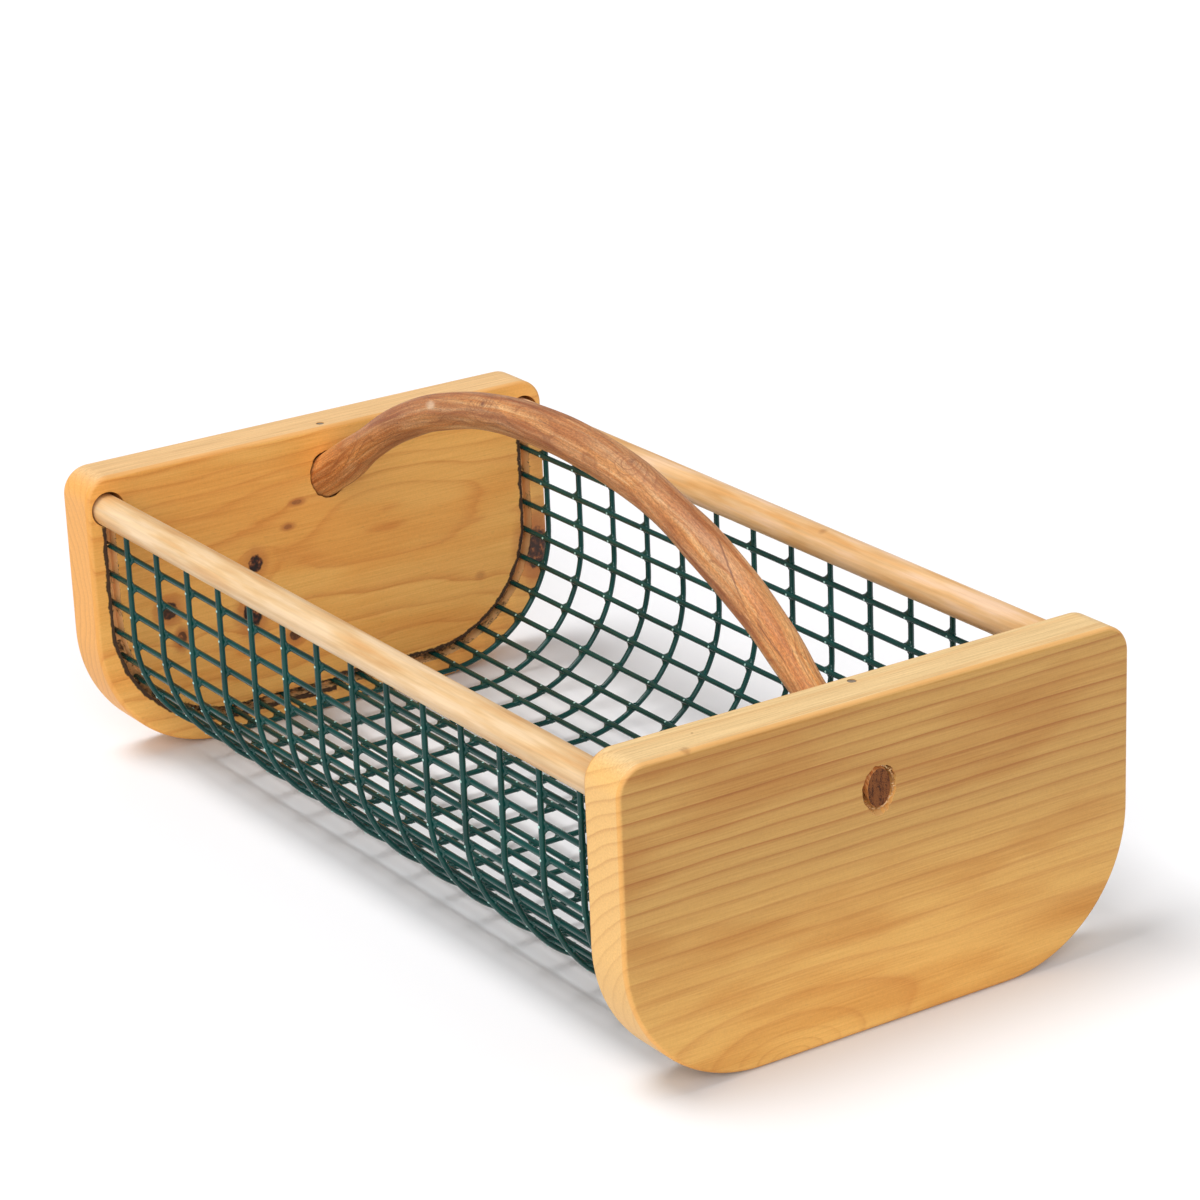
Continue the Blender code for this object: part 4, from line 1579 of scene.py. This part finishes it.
@dataclass
class WeldedNet:
    """The coated welded mesh: hoops outside, long wires inside, and the coating at each crossing."""

    sizes: HodSizes
    hoop_pitch: float = 25.4 * MM
    hoop_count: int = 14
    lean: float = 0.0195
    row_pitch: float = 12.45 * MM
    row_count: int = 27
    row_steps: int = 46
    wire_sides: int = 12
    wave: float = 0.5 * MM
    wave_scale: float = 17.0
    fillet: float = 2.6 * MM
    web_half: float = 1.0 * MM
    web_thickness: float = 1.5 * MM
    web_levels: tuple[Flat, ...] = ((1.0, 0.0), (0.68, 0.9))
    web_turns: tuple[float, ...] = (12.0, 33.0, 57.0, 78.0)
    nub: float = 0.55 * MM
    web_soft: float = 0.3 * MM
    web_share: float = 0.85
    slot_roof_gap: float = 0.5 * MM
    kerf_gap: float = 0.5 * MM

    def guide(self) -> bpy.types.Object:
        """The middle of the mesh's thickness as a line of edges, with its outward direction.

        Returns:
            An object whose mesh is the line from the left rail round to the right rail.
        """
        sizes = self.sizes
        top = sizes.rail_z - sizes.rail_diameter / 2 + sizes.rail_slot - self.slot_roof_gap
        corners = sizes.mesh_path(0.0, top, 32)
        shape = bmesh.new()
        outward = shape.verts.layers.float_vector.new("outward")
        points = []
        for number, (across, up) in enumerate(corners):
            before = corners[max(number - 1, 0)]
            after = corners[min(number + 1, len(corners) - 1)]
            run = Vector((0, after[0] - before[0], after[1] - before[1])).normalized()
            point = shape.verts.new((0, across, up))
            point[outward] = Vector((0, run.z, -run.y))
            points.append(point)
        for pair in zip(points, points[1:]):
            shape.edges.new(pair)
        return put_in_scene("mesh_guide", mesh_from(shape, "mesh_guide"))

    def web_height(self, across: float, along: float) -> float:
        """How far the coating lies out of the middle, so that it meets both wires."""
        total = abs(across) + abs(along) + self.web_soft
        return self.sizes.wire_offset * self.web_share * (abs(along) - abs(across)) / total

    def web_reach(self, turn: float) -> float:
        """How far the coating reaches from the crossing.

        Args:
            turn: The angle round the crossing.

        Returns:
            The distance to its hollow edge.
        """
        reach = self.web_half + self.fillet
        long, short = sorted((abs(math.cos(turn)), abs(math.sin(turn))), reverse=True)
        total = reach * (long + short)
        inside = total ** 2 - 2 * reach ** 2 + self.fillet ** 2
        if inside <= 0 or short * reach < long * self.web_half:
            return reach / long
        return total - math.sqrt(inside)

    def web(self) -> bpy.types.Object:
        """The coating that fills the corners of one crossing.

        The long wire runs along X and the hoop along Y, and Z points out of the basket. The edge is
        hollow between the wires, and the thickness thins out towards it.

        Returns:
            The small closed mesh.
        """
        shape = bmesh.new()
        rows: list[Any] = []
        turns = [math.radians(quarter + turn) for quarter in (0, 90, 180, 270)
                 for turn in self.web_turns]
        for face in (1, -1):
            for share, thick in self.web_levels:
                if face < 0 and share == 1.0:
                    rows.append(rows[0])
                    continue
                row = []
                for turn in turns:
                    across = math.cos(turn) * self.web_reach(turn) * share
                    along = math.sin(turn) * self.web_reach(turn) * share
                    lift = face * thick * self.web_thickness / 2
                    row.append(shape.verts.new((across, along, self.web_height(across, along) + lift)))
                rows.append(row)
        for outer, inner, face in ((rows[0], rows[1], 1), (rows[2], rows[3], -1)):
            middle = shape.verts.new((0, 0, face * self.web_thickness / 2))
            for number in range(len(turns)):
                after = (number + 1) % len(turns)
                shape.faces.new((outer[number], outer[after], inner[after], inner[number]))
                shape.faces.new((inner[number], inner[after], middle))
        bmesh.ops.recalc_face_normals(shape, faces=shape.faces)
        return put_in_scene("coating_web", mesh_from(shape, "coating_web"))

    def tree(self, coating: bpy.types.Material, painted_glint: bpy.types.Material) -> bpy.types.NodeTree:
        """The node tree that lays the wires, the webs and the weld nubs along the guide; the nubs' pale
        material paints a glint on each weld.

        Args:
            coating: Material of the wires.
            painted_glint: Material of the nubs.

        Returns:
            The tree.
        """
        tree, add, given = new_tree("welded_net", {
            "Wire Radius": "Float", "Wire Offset": "Float", "Hoop Pitch": "Float", "Hoop Count": "Int",
            "Lean": "Float", "Row Pitch": "Float", "Row Count": "Int", "Reach": "Float",
            "Wave": "Float", "Nub": "Float", "Wire Sides": "Int", "Web": "Object"})
        guide = add("GeometryNodeMeshToCurve", (given["Geometry"],))
        outward, facing = (
            add("GeometryNodeInputNamedAttribute", {"Name": name}, data_type="FLOAT_VECTOR")
            for name in ("outward", "facing"))
        profile = add("GeometryNodeCurvePrimitiveCircle", {
            "Resolution": given["Wire Sides"], "Radius": given["Wire Radius"]})
        place = add("GeometryNodeInputPosition")

        across = add("SeparateXYZ", (place,)).outputs["Y"]
        leaning = add("Math", (across, given["Lean"]), operation="MULTIPLY")
        leaning = add("VectorMath", (add("CombineXYZ", (leaning,)), -1.0), operation="SCALE")
        moved = add("VectorMath", (outward, given["Wire Offset"]), operation="SCALE")
        moved = add("VectorMath", (moved, leaning), operation="ADD")
        hoop = add("GeometryNodeSetPosition", {"Geometry": guide, "Offset": moved})
        hoop = add("GeometryNodeCurveToMesh", {
            "Curve": hoop, "Profile Curve": profile, "Fill Caps": True})
        gaps = add("Math", (given["Hoop Count"], 1.0), operation="SUBTRACT")
        first = add("Math", (gaps, given["Hoop Pitch"]), operation="MULTIPLY")
        first = add("Math", (first, -0.5), operation="MULTIPLY")
        stations = add("GeometryNodeMeshLine", {
            "Count": given["Hoop Count"], "Start Location": add("CombineXYZ", (first,)),
            "Offset": add("CombineXYZ", (given["Hoop Pitch"],))})
        hoops = add("GeometryNodeInstanceOnPoints", {"Points": stations, "Instance": hoop})

        last = add("Math", (given["Row Count"], 1.0), operation="SUBTRACT")
        distance = add("Math", (last, -0.5, add("GeometryNodeInputIndex")), operation="MULTIPLY_ADD")
        half = add("Math", (add("GeometryNodeCurveLength", (guide,)), 0.5), operation="MULTIPLY")
        distance = add("Math", (distance, given["Row Pitch"], half), operation="MULTIPLY_ADD")
        sampled = add("GeometryNodeSampleCurve", {
            "Curves": guide, "Value": outward, "Length": distance}, data_type="FLOAT_VECTOR",
            mode="LENGTH").outputs
        crossings = add("GeometryNodeSetPosition", {
            "Geometry": add("GeometryNodePoints", {"Count": given["Row Count"]}),
            "Position": sampled["Position"]})
        crossings = add("GeometryNodeStoreNamedAttribute", {
            "Geometry": crossings, "Name": "facing", "Value": sampled["Value"]},
            data_type="FLOAT_VECTOR", domain="POINT")
        inwards = add("VectorMath", (facing, given["Wire Offset"]), operation="SCALE")
        inwards = add("VectorMath", (inwards, -1.0), operation="SCALE")
        rows, crossings = (add("GeometryNodeSetPosition", {"Geometry": crossings, "Offset": offset})
                           for offset in (inwards, leaning))
        back = add("Math", (given["Reach"], -1.0), operation="MULTIPLY")
        long_wire = add("GeometryNodeCurvePrimitiveLine", {
            "Start": add("CombineXYZ", (back,)), "End": add("CombineXYZ", (given["Reach"],))})
        long_wire = add("GeometryNodeResampleCurve", {"Curve": long_wire, "Count": self.row_steps})
        long_wire = add("GeometryNodeCurveToMesh", {
            "Curve": long_wire, "Profile Curve": profile, "Fill Caps": True})
        long_wires = add("GeometryNodeInstanceOnPoints", {"Points": rows, "Instance": long_wire})

        turned = add("FunctionNodeAxesToRotation", {
            "Primary Axis": facing, "Secondary Axis": (1.0, 0.0, 0.0)}, primary_axis="Z",
            secondary_axis="X")
        web = add("GeometryNodeObjectInfo", {"Object": given["Web"]}).outputs["Geometry"]
        skin = add("Math", (given["Wire Radius"], given["Wire Offset"]), operation="ADD")
        nub = add("GeometryNodeMeshUVSphere", {"Segments": 8, "Rings": 5, "Radius": given["Nub"]})
        nub = add("GeometryNodeTransform", {"Geometry": nub, "Scale": (1.0, 1.0, 0.4)})
        spots = [(crossings, web)]
        for way in (1.0, -1.0):
            lift = add("Math", (skin, way), operation="MULTIPLY")
            lift = add("VectorMath", (facing, lift), operation="SCALE")
            spots.append((add("GeometryNodeSetPosition", {"Geometry": crossings, "Offset": lift}), nub))
        webs, *nubs = (
            add("GeometryNodeInstanceOnPoints", {
                "Points": stations, "Instance": add("GeometryNodeRealizeInstances", (
                    add("GeometryNodeInstanceOnPoints", {
                        "Points": points, "Instance": thing, "Rotation": turned}),))})
            for points, thing in spots)

        both = []
        # The nubs take a pale material that paints a glint on each weld.
        for parts, material in (([hoops, long_wires, webs], coating), (nubs, painted_glint)):
            joined = add("GeometryNodeJoinGeometry", (parts,))
            joined = add("GeometryNodeRealizeInstances", (joined,))
            both.append(add("GeometryNodeSetMaterial", {"Geometry": joined, "Material": material}))
        both = add("GeometryNodeJoinGeometry", (both,))
        sway = add("TexNoise", {"Vector": place, "Scale": self.wave_scale, "Detail": 1.0})
        sway = add("VectorMath", (sway.outputs["Color"], (0.5, 0.5, 0.5)), operation="SUBTRACT")
        sway = add("VectorMath", (sway, given["Wave"]), operation="SCALE")
        done = add("GeometryNodeSetPosition", {"Geometry": both, "Offset": sway})
        add("NodeGroupOutput", (add("GeometryNodeSetShadeSmooth", {"Geometry": done}),))
        return tree

    def build(self) -> bpy.types.Object:
        """Build the mesh.

        Returns:
            The finished net as one plain mesh.
        """
        sizes = self.sizes
        guide, web = self.guide(), self.web()
        # The second, pale coating paints the glint on each weld nub.
        tree = self.tree(CoatedWire("green_wire_coating", "053E39", 0.2, 0.35).make(),
                         CoatedWire("green_coating_at_welds", "A4CBC3", 0.2, 0.5).make())
        net = grown(guide, tree, "coated_wire_net", {
            "Wire Radius": sizes.wire_diameter / 2, "Wire Offset": sizes.wire_offset,
            "Hoop Pitch": self.hoop_pitch, "Hoop Count": self.hoop_count, "Lean": self.lean,
            "Row Pitch": self.row_pitch, "Row Count": self.row_count,
            "Reach": sizes.inner_x + sizes.kerf_depth - self.kerf_gap, "Wave": self.wave,
            "Nub": self.nub, "Wire Sides": self.wire_sides, "Web": web})
        bpy.data.objects.remove(web, do_unlink=True)
        return net


@dataclass
class TornEdges:
    """Splinters that the cutters left along the kerfs and round the handle's hole."""

    sizes: HodSizes
    spacing: float = 1.7 * MM
    length: float = 1.5 * MM
    width: float = 0.26 * MM
    fuzz_spacing: float = 0.16 * MM
    fuzz_inset: float = 1.2 * MM
    fuzz_drop: float = 0.8 * MM
    fuzz_from: float = -150.0
    fuzz_to: float = 75.0
    seed: int = 7

    def tree(self, fibre: bpy.types.Material) -> bpy.types.NodeTree:
        """The node tree that scatters splinters along lines of edges.

        Args:
            fibre: Material of the splinters.

        Returns:
            The tree.
        """
        tree, add, given = new_tree("torn_edges", {
            "Spacing": "Float", "Length": "Float", "Width": "Float", "Seed": "Int"})
        line = add("GeometryNodeMeshToCurve", (given["Geometry"],))
        spots = add("GeometryNodeCurveToPoints", {"Curve": line, "Length": given["Spacing"]},
                    mode="LENGTH")
        splinter = add("GeometryNodeMeshCone", {
            "Vertices": 4, "Radius Bottom": given["Width"], "Radius Top": 0.0,
            "Depth": given["Length"]}, fill_type="NGON")
        turn, size, keep = (
            add("FunctionNodeRandomValue", {**span, "Seed": given["Seed"]}, data_type=kind)
            for kind, span in (("FLOAT_VECTOR", {0: (-1.3, -1.3, -3.14), 1: (1.3, 1.3, 3.14)}),
                               ("FLOAT", {2: 0.25, 3: 1.0}), ("BOOLEAN", {6: 0.7})))
        placed = add("GeometryNodeInstanceOnPoints", {
            "Points": spots, "Instance": splinter, "Rotation": turn, "Scale": size, "Selection": keep})
        placed = add("GeometryNodeRealizeInstances", (placed,))
        placed = add("GeometryNodeSetMaterial", {"Geometry": placed, "Material": fibre})
        add("NodeGroupOutput", (placed,))
        return tree

    def kerf_lines(self, end: End) -> list[list[Point]]:
        """The edges of the kerf on a board's inner face.

        Args:
            end: Which board.

        Returns:
            Lines of points.
        """
        sizes = self.sizes
        x = end.value * (sizes.inner_x - 0.05 * MM)
        lines = []
        for wall in (1, -1):
            offset = -sizes.wire_offset + wall * sizes.kerf_width / 2
            path = sizes.mesh_path(offset, sizes.rail_z - sizes.rail_diameter / 2 - 1.0 * MM)
            lines.append([(x, across, up) for across, up in path])
        return lines

    def gap_line(self, end: End) -> list[list[Point]]:
        """A line along the middle of the gap between the handle's end and its hole.

        Args:
            end: Which board.

        Returns:
            One line of points, from below the left round to above the right.
        """
        sizes = self.sizes
        middle = sizes.handle_end(end, -self.fuzz_inset)
        hole = sizes.handle_hole_radius(end)
        stick = sizes.handle_near_diameter / 2
        line = arc((0.0, 0.0), (hole + stick) / 2, self.fuzz_from, self.fuzz_to, 40)
        return [[(middle.x, middle.y + across, middle.z + up / math.cos(sizes.handle_slope)
                  - self.fuzz_drop) for across, up in line]]

    def build(self, name: str, lines: Sequence[Sequence[Point]], spacing: float,
              wood: TornFibre) -> bpy.types.Object:
        """Build splinters along lines.

        Args:
            name: Name of the piece.
            lines: Where they stand.
            spacing: Distance from one to the next.
            wood: Their finish.

        Returns:
            The splinters as one plain mesh.
        """
        shape = bmesh.new()
        for line in lines:
            points = [shape.verts.new(point) for point in line]
            for pair in zip(points, points[1:]):
                shape.edges.new(pair)
        holder = put_in_scene(name, mesh_from(shape, name))
        return grown(holder, self.tree(wood.make()), name, {
            "Spacing": spacing, "Length": self.length, "Width": self.width, "Seed": self.seed})


@dataclass
class Studio:
    """The camera of the photograph, a pale floor and plain soft light."""

    camera_place: Point = (1.19991, -0.75754, 0.623597)
    azimuth: float = 57.128
    elevation: float = 20.271
    roll: float = -2.29
    focal_pixels: float = 3968.211
    frame_pixels: float = 1200.0
    sensor: float = 36.0
    floor_half: float = 12.0
    floor_gap: float = 0.2 * MM

    def build(self) -> None:
        """Set up the camera, the floor, the lamps and the world."""
        self.camera()
        self.floor()
        self.lamp("key_light", Vector((-0.15, -0.3, 0.9)), 1.9, 28.0)
        self.lamp("fill_light", Vector((0.8, -0.5, 0.45)), 1.5, 50.0)
        self.world()
        bpy.context.scene.view_settings.view_transform = "Standard"

    def camera(self) -> None:
        """Place the camera where the photograph was taken from."""
        turn, lift = math.radians(self.azimuth), math.radians(self.elevation)
        roll = math.radians(self.roll)
        ahead = Vector((-math.sin(turn) * math.cos(lift), math.cos(turn) * math.cos(lift),
                        -math.sin(lift)))
        level = Vector((math.cos(turn), math.sin(turn), 0))
        upright = level.cross(ahead)
        right = level * math.cos(roll) + upright * math.sin(roll)
        up = upright * math.cos(roll) - level * math.sin(roll)
        data = bpy.data.cameras.new("photograph_camera")
        data.sensor_width = self.sensor
        data.lens = self.focal_pixels / self.frame_pixels * self.sensor
        data.clip_end = 50.0
        camera = put_in_scene("photograph_camera", data)
        turned = Matrix((right, up, -ahead)).transposed().to_4x4()
        camera.matrix_world = Matrix.Translation(self.camera_place) @ turned
        bpy.context.scene.camera = camera

    def floor(self) -> None:
        """Lay a wide pale floor that takes the hod's shadow."""
        shape = bmesh.new()
        bmesh.ops.create_grid(shape, x_segments=1, y_segments=1, size=self.floor_half)
        floor = put_in_scene("studio_floor", mesh_from(shape, "studio_floor"))
        floor.location.z = -self.floor_gap
        material, _, _ = new_material("pale_floor", Roughness=0.9, Specular_IOR_Level=0.0,
                                      Base_Color="F3F3F5")
        floor.data.materials.append(material)

    def lamp(self, name: str, towards: Vector, strength: float, softness: float) -> None:
        """Hang one wide soft white lamp, far off, so that it lights the floor evenly.

        Args:
            name: Its name.
            towards: The way from the hod to the lamp.
            strength: Its strength.
            softness: How wide it looks from the hod, in degrees.
        """
        data = bpy.data.lights.new(name, "SUN")
        data.energy = strength
        data.angle = math.radians(softness)
        lamp = put_in_scene(name, data)
        lamp.location = towards
        lamp.rotation_euler = towards.to_track_quat("Z", "Y").to_euler()

    def world(self) -> None:
        """Light the scene evenly from all round, and show white where nothing stands."""
        world = bpy.data.worlds.new("soft_room")
        bpy.context.scene.world = world
        world.use_nodes = True
        seen = add_node(world.node_tree, "LightPath").outputs["Is Camera Ray"]
        strength = add_node(world.node_tree, "MapRange", (seen, 0.0, 1.0, 0.42, 1.0))
        feed(world.node_tree.nodes["Background"], {"Color": "FFFFFF", "Strength": strength})


def pine_finishes(sizes: HodSizes) -> dict[End, SawnPine]:
    """The wood of each board, with its own rings and knots.

    Args:
        sizes: The hod's sizes.

    Returns:
        A finish for each end.
    """
    shift = sizes.wire_offset
    kerf = KerfPlace(side=(sizes.mesh_y - shift) / MM, floor=(sizes.mesh_floor + shift) / MM,
                     bend_radius=(sizes.mesh_bend - shift) / MM, half_width=sizes.kerf_width / MM / 2,
                     inner_face=sizes.inner_x / MM, depth=sizes.kerf_depth / MM)
    near = SawnPine(
        name="sawn_pine_near", pith=(240.5, 12.0), pitch_terms=(0.1919, 0.00006), early="BC8F49",
        late="9A5A1C", late_edge="CF9450", blush="AB752F", wander=3.0,
        rise=(5.0, -45.0, 0.0, 40.0, 30.0), warm_band=(88.0, 20.0, 30.0, 6.5, 1.0),
        knots=(Knot(-42.0, 0.0, 11.0, 4.4, 0.0, 30.0, 0.0, 0.0),), tone_by_height=(1.56, 0.99),
        lines_by_height=(0.34, 0.92),
        marks=(Mark((200.5, -81.0, 123.5), 2.4, 0.35), Mark((190.5, -71.0, 124.5), 0.6, 0.6)),
        top_tone="E3C088", side_tone="EBBA70", kerf=kerf, inward=1.0)
    far = SawnPine(
        name="sawn_pine_far", pith=(-258.0, 66.0), pitch_terms=(0.25, 0.0), early="ECAF59",
        late="C6681C", late_edge="C27A36", blush="E49B44", wander=9.0,
        rise=(8.0, 30.0, 84.0, 46.0, 24.0), warm_band=(-60.0, 88.0, 70.0, 16.0, 0.6),
        tone_by_height=(1.03, 1.03), lines_by_height=(0.55, 0.45), top_tone="E5BA81", side_tone="EBA957",
        knots=(Knot(-13.2, 94.8, 2.3, 1.0, 0.4, 3.0, 0.7), Knot(-18.2, 85.0, 1.9, 1.0, 0.35, 3.0, 0.7),
               Knot(-34.5, 72.5, 3.3, 3.8, 1.0, 5.0, 0.5), Knot(-75.7, 61.2, 3.6, 3.8, 0.95, 5.0, 0.7),
               Knot(-71.0, 47.8, 2.2, 3.2, 0.8, 4.0, 0.8), Knot(-37.3, 51.2, 4.6, 6.0, 1.0, 7.0, 0.7),
               Knot(-18.0, 37.0, 3.0, 2.6, 0.85, 4.0, 0.7), Knot(103.0, 48.0, 6.0, 9.5, 0.95, 6.0, 0.8),
               Knot(74.0, 42.0, 1.6, 1.2, 0.1, 1.5, 0.4)),
        marks=(), kerf=kerf, inward=-1.0)
    return {End.NEAR: near, End.FAR: far}


def place_piece(piece: bpy.types.Object, slot: str, *nodes: str) -> None:
    """Hand a piece to the frame.

    Args:
        piece: The piece.
        slot: The record's material slot. It is not used.
        *nodes: The solids that it stands for.
    """
    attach(piece, "root")
    if nodes:
        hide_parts(*nodes)
    LOG.info("%s: %d faces", piece.name, len(piece.data.polygons))


def main() -> None:
    """Build the hod and its studio."""
    logging.basicConfig(level=logging.INFO, format="%(name)s: %(message)s")
    sizes = HodSizes()
    Studio().build()
    finishes = pine_finishes(sizes)
    boards = EndBoards(sizes)
    splinters = TornEdges(sizes)
    for end in End:
        place_piece(boards.build(end, finishes[end]), "pine", f"{end.name.lower()}_end_board")
        name = f"{end.name.lower()}_kerf_splinters"
        fibre = TornFibre(f"{name}_wood", "C99A5E", "35200F")
        place_piece(splinters.build(name, splinters.kerf_lines(end), splinters.spacing, fibre), "pine")
    fibre = TornFibre("torn_hole_fibre", "EFCB98", "B07F4B")
    fuzz = splinters.build("near_hole_splinters", splinters.gap_line(End.NEAR),
                           splinters.fuzz_spacing, fibre)
    place_piece(fuzz, "pine")
    rails = SideRails(sizes)
    for side in Side:
        place_piece(rails.build(side), "dowel", f"{side.name.lower()}_side_rail")
    place_piece(WeldedNet(sizes).build(), "coated_wire", "wire_mesh")
    place_piece(StickHandle(sizes).build(), "stick", "handle")
    nail_finish = DarkNail("dark_nail_steel").make()
    for node in ("far_handle_nail", "near_handle_nail"):
        nail = bpy.data.objects[node]
        for slot in nail.material_slots:
            slot.material = nail_finish


if __name__ == "__main__":
    main()
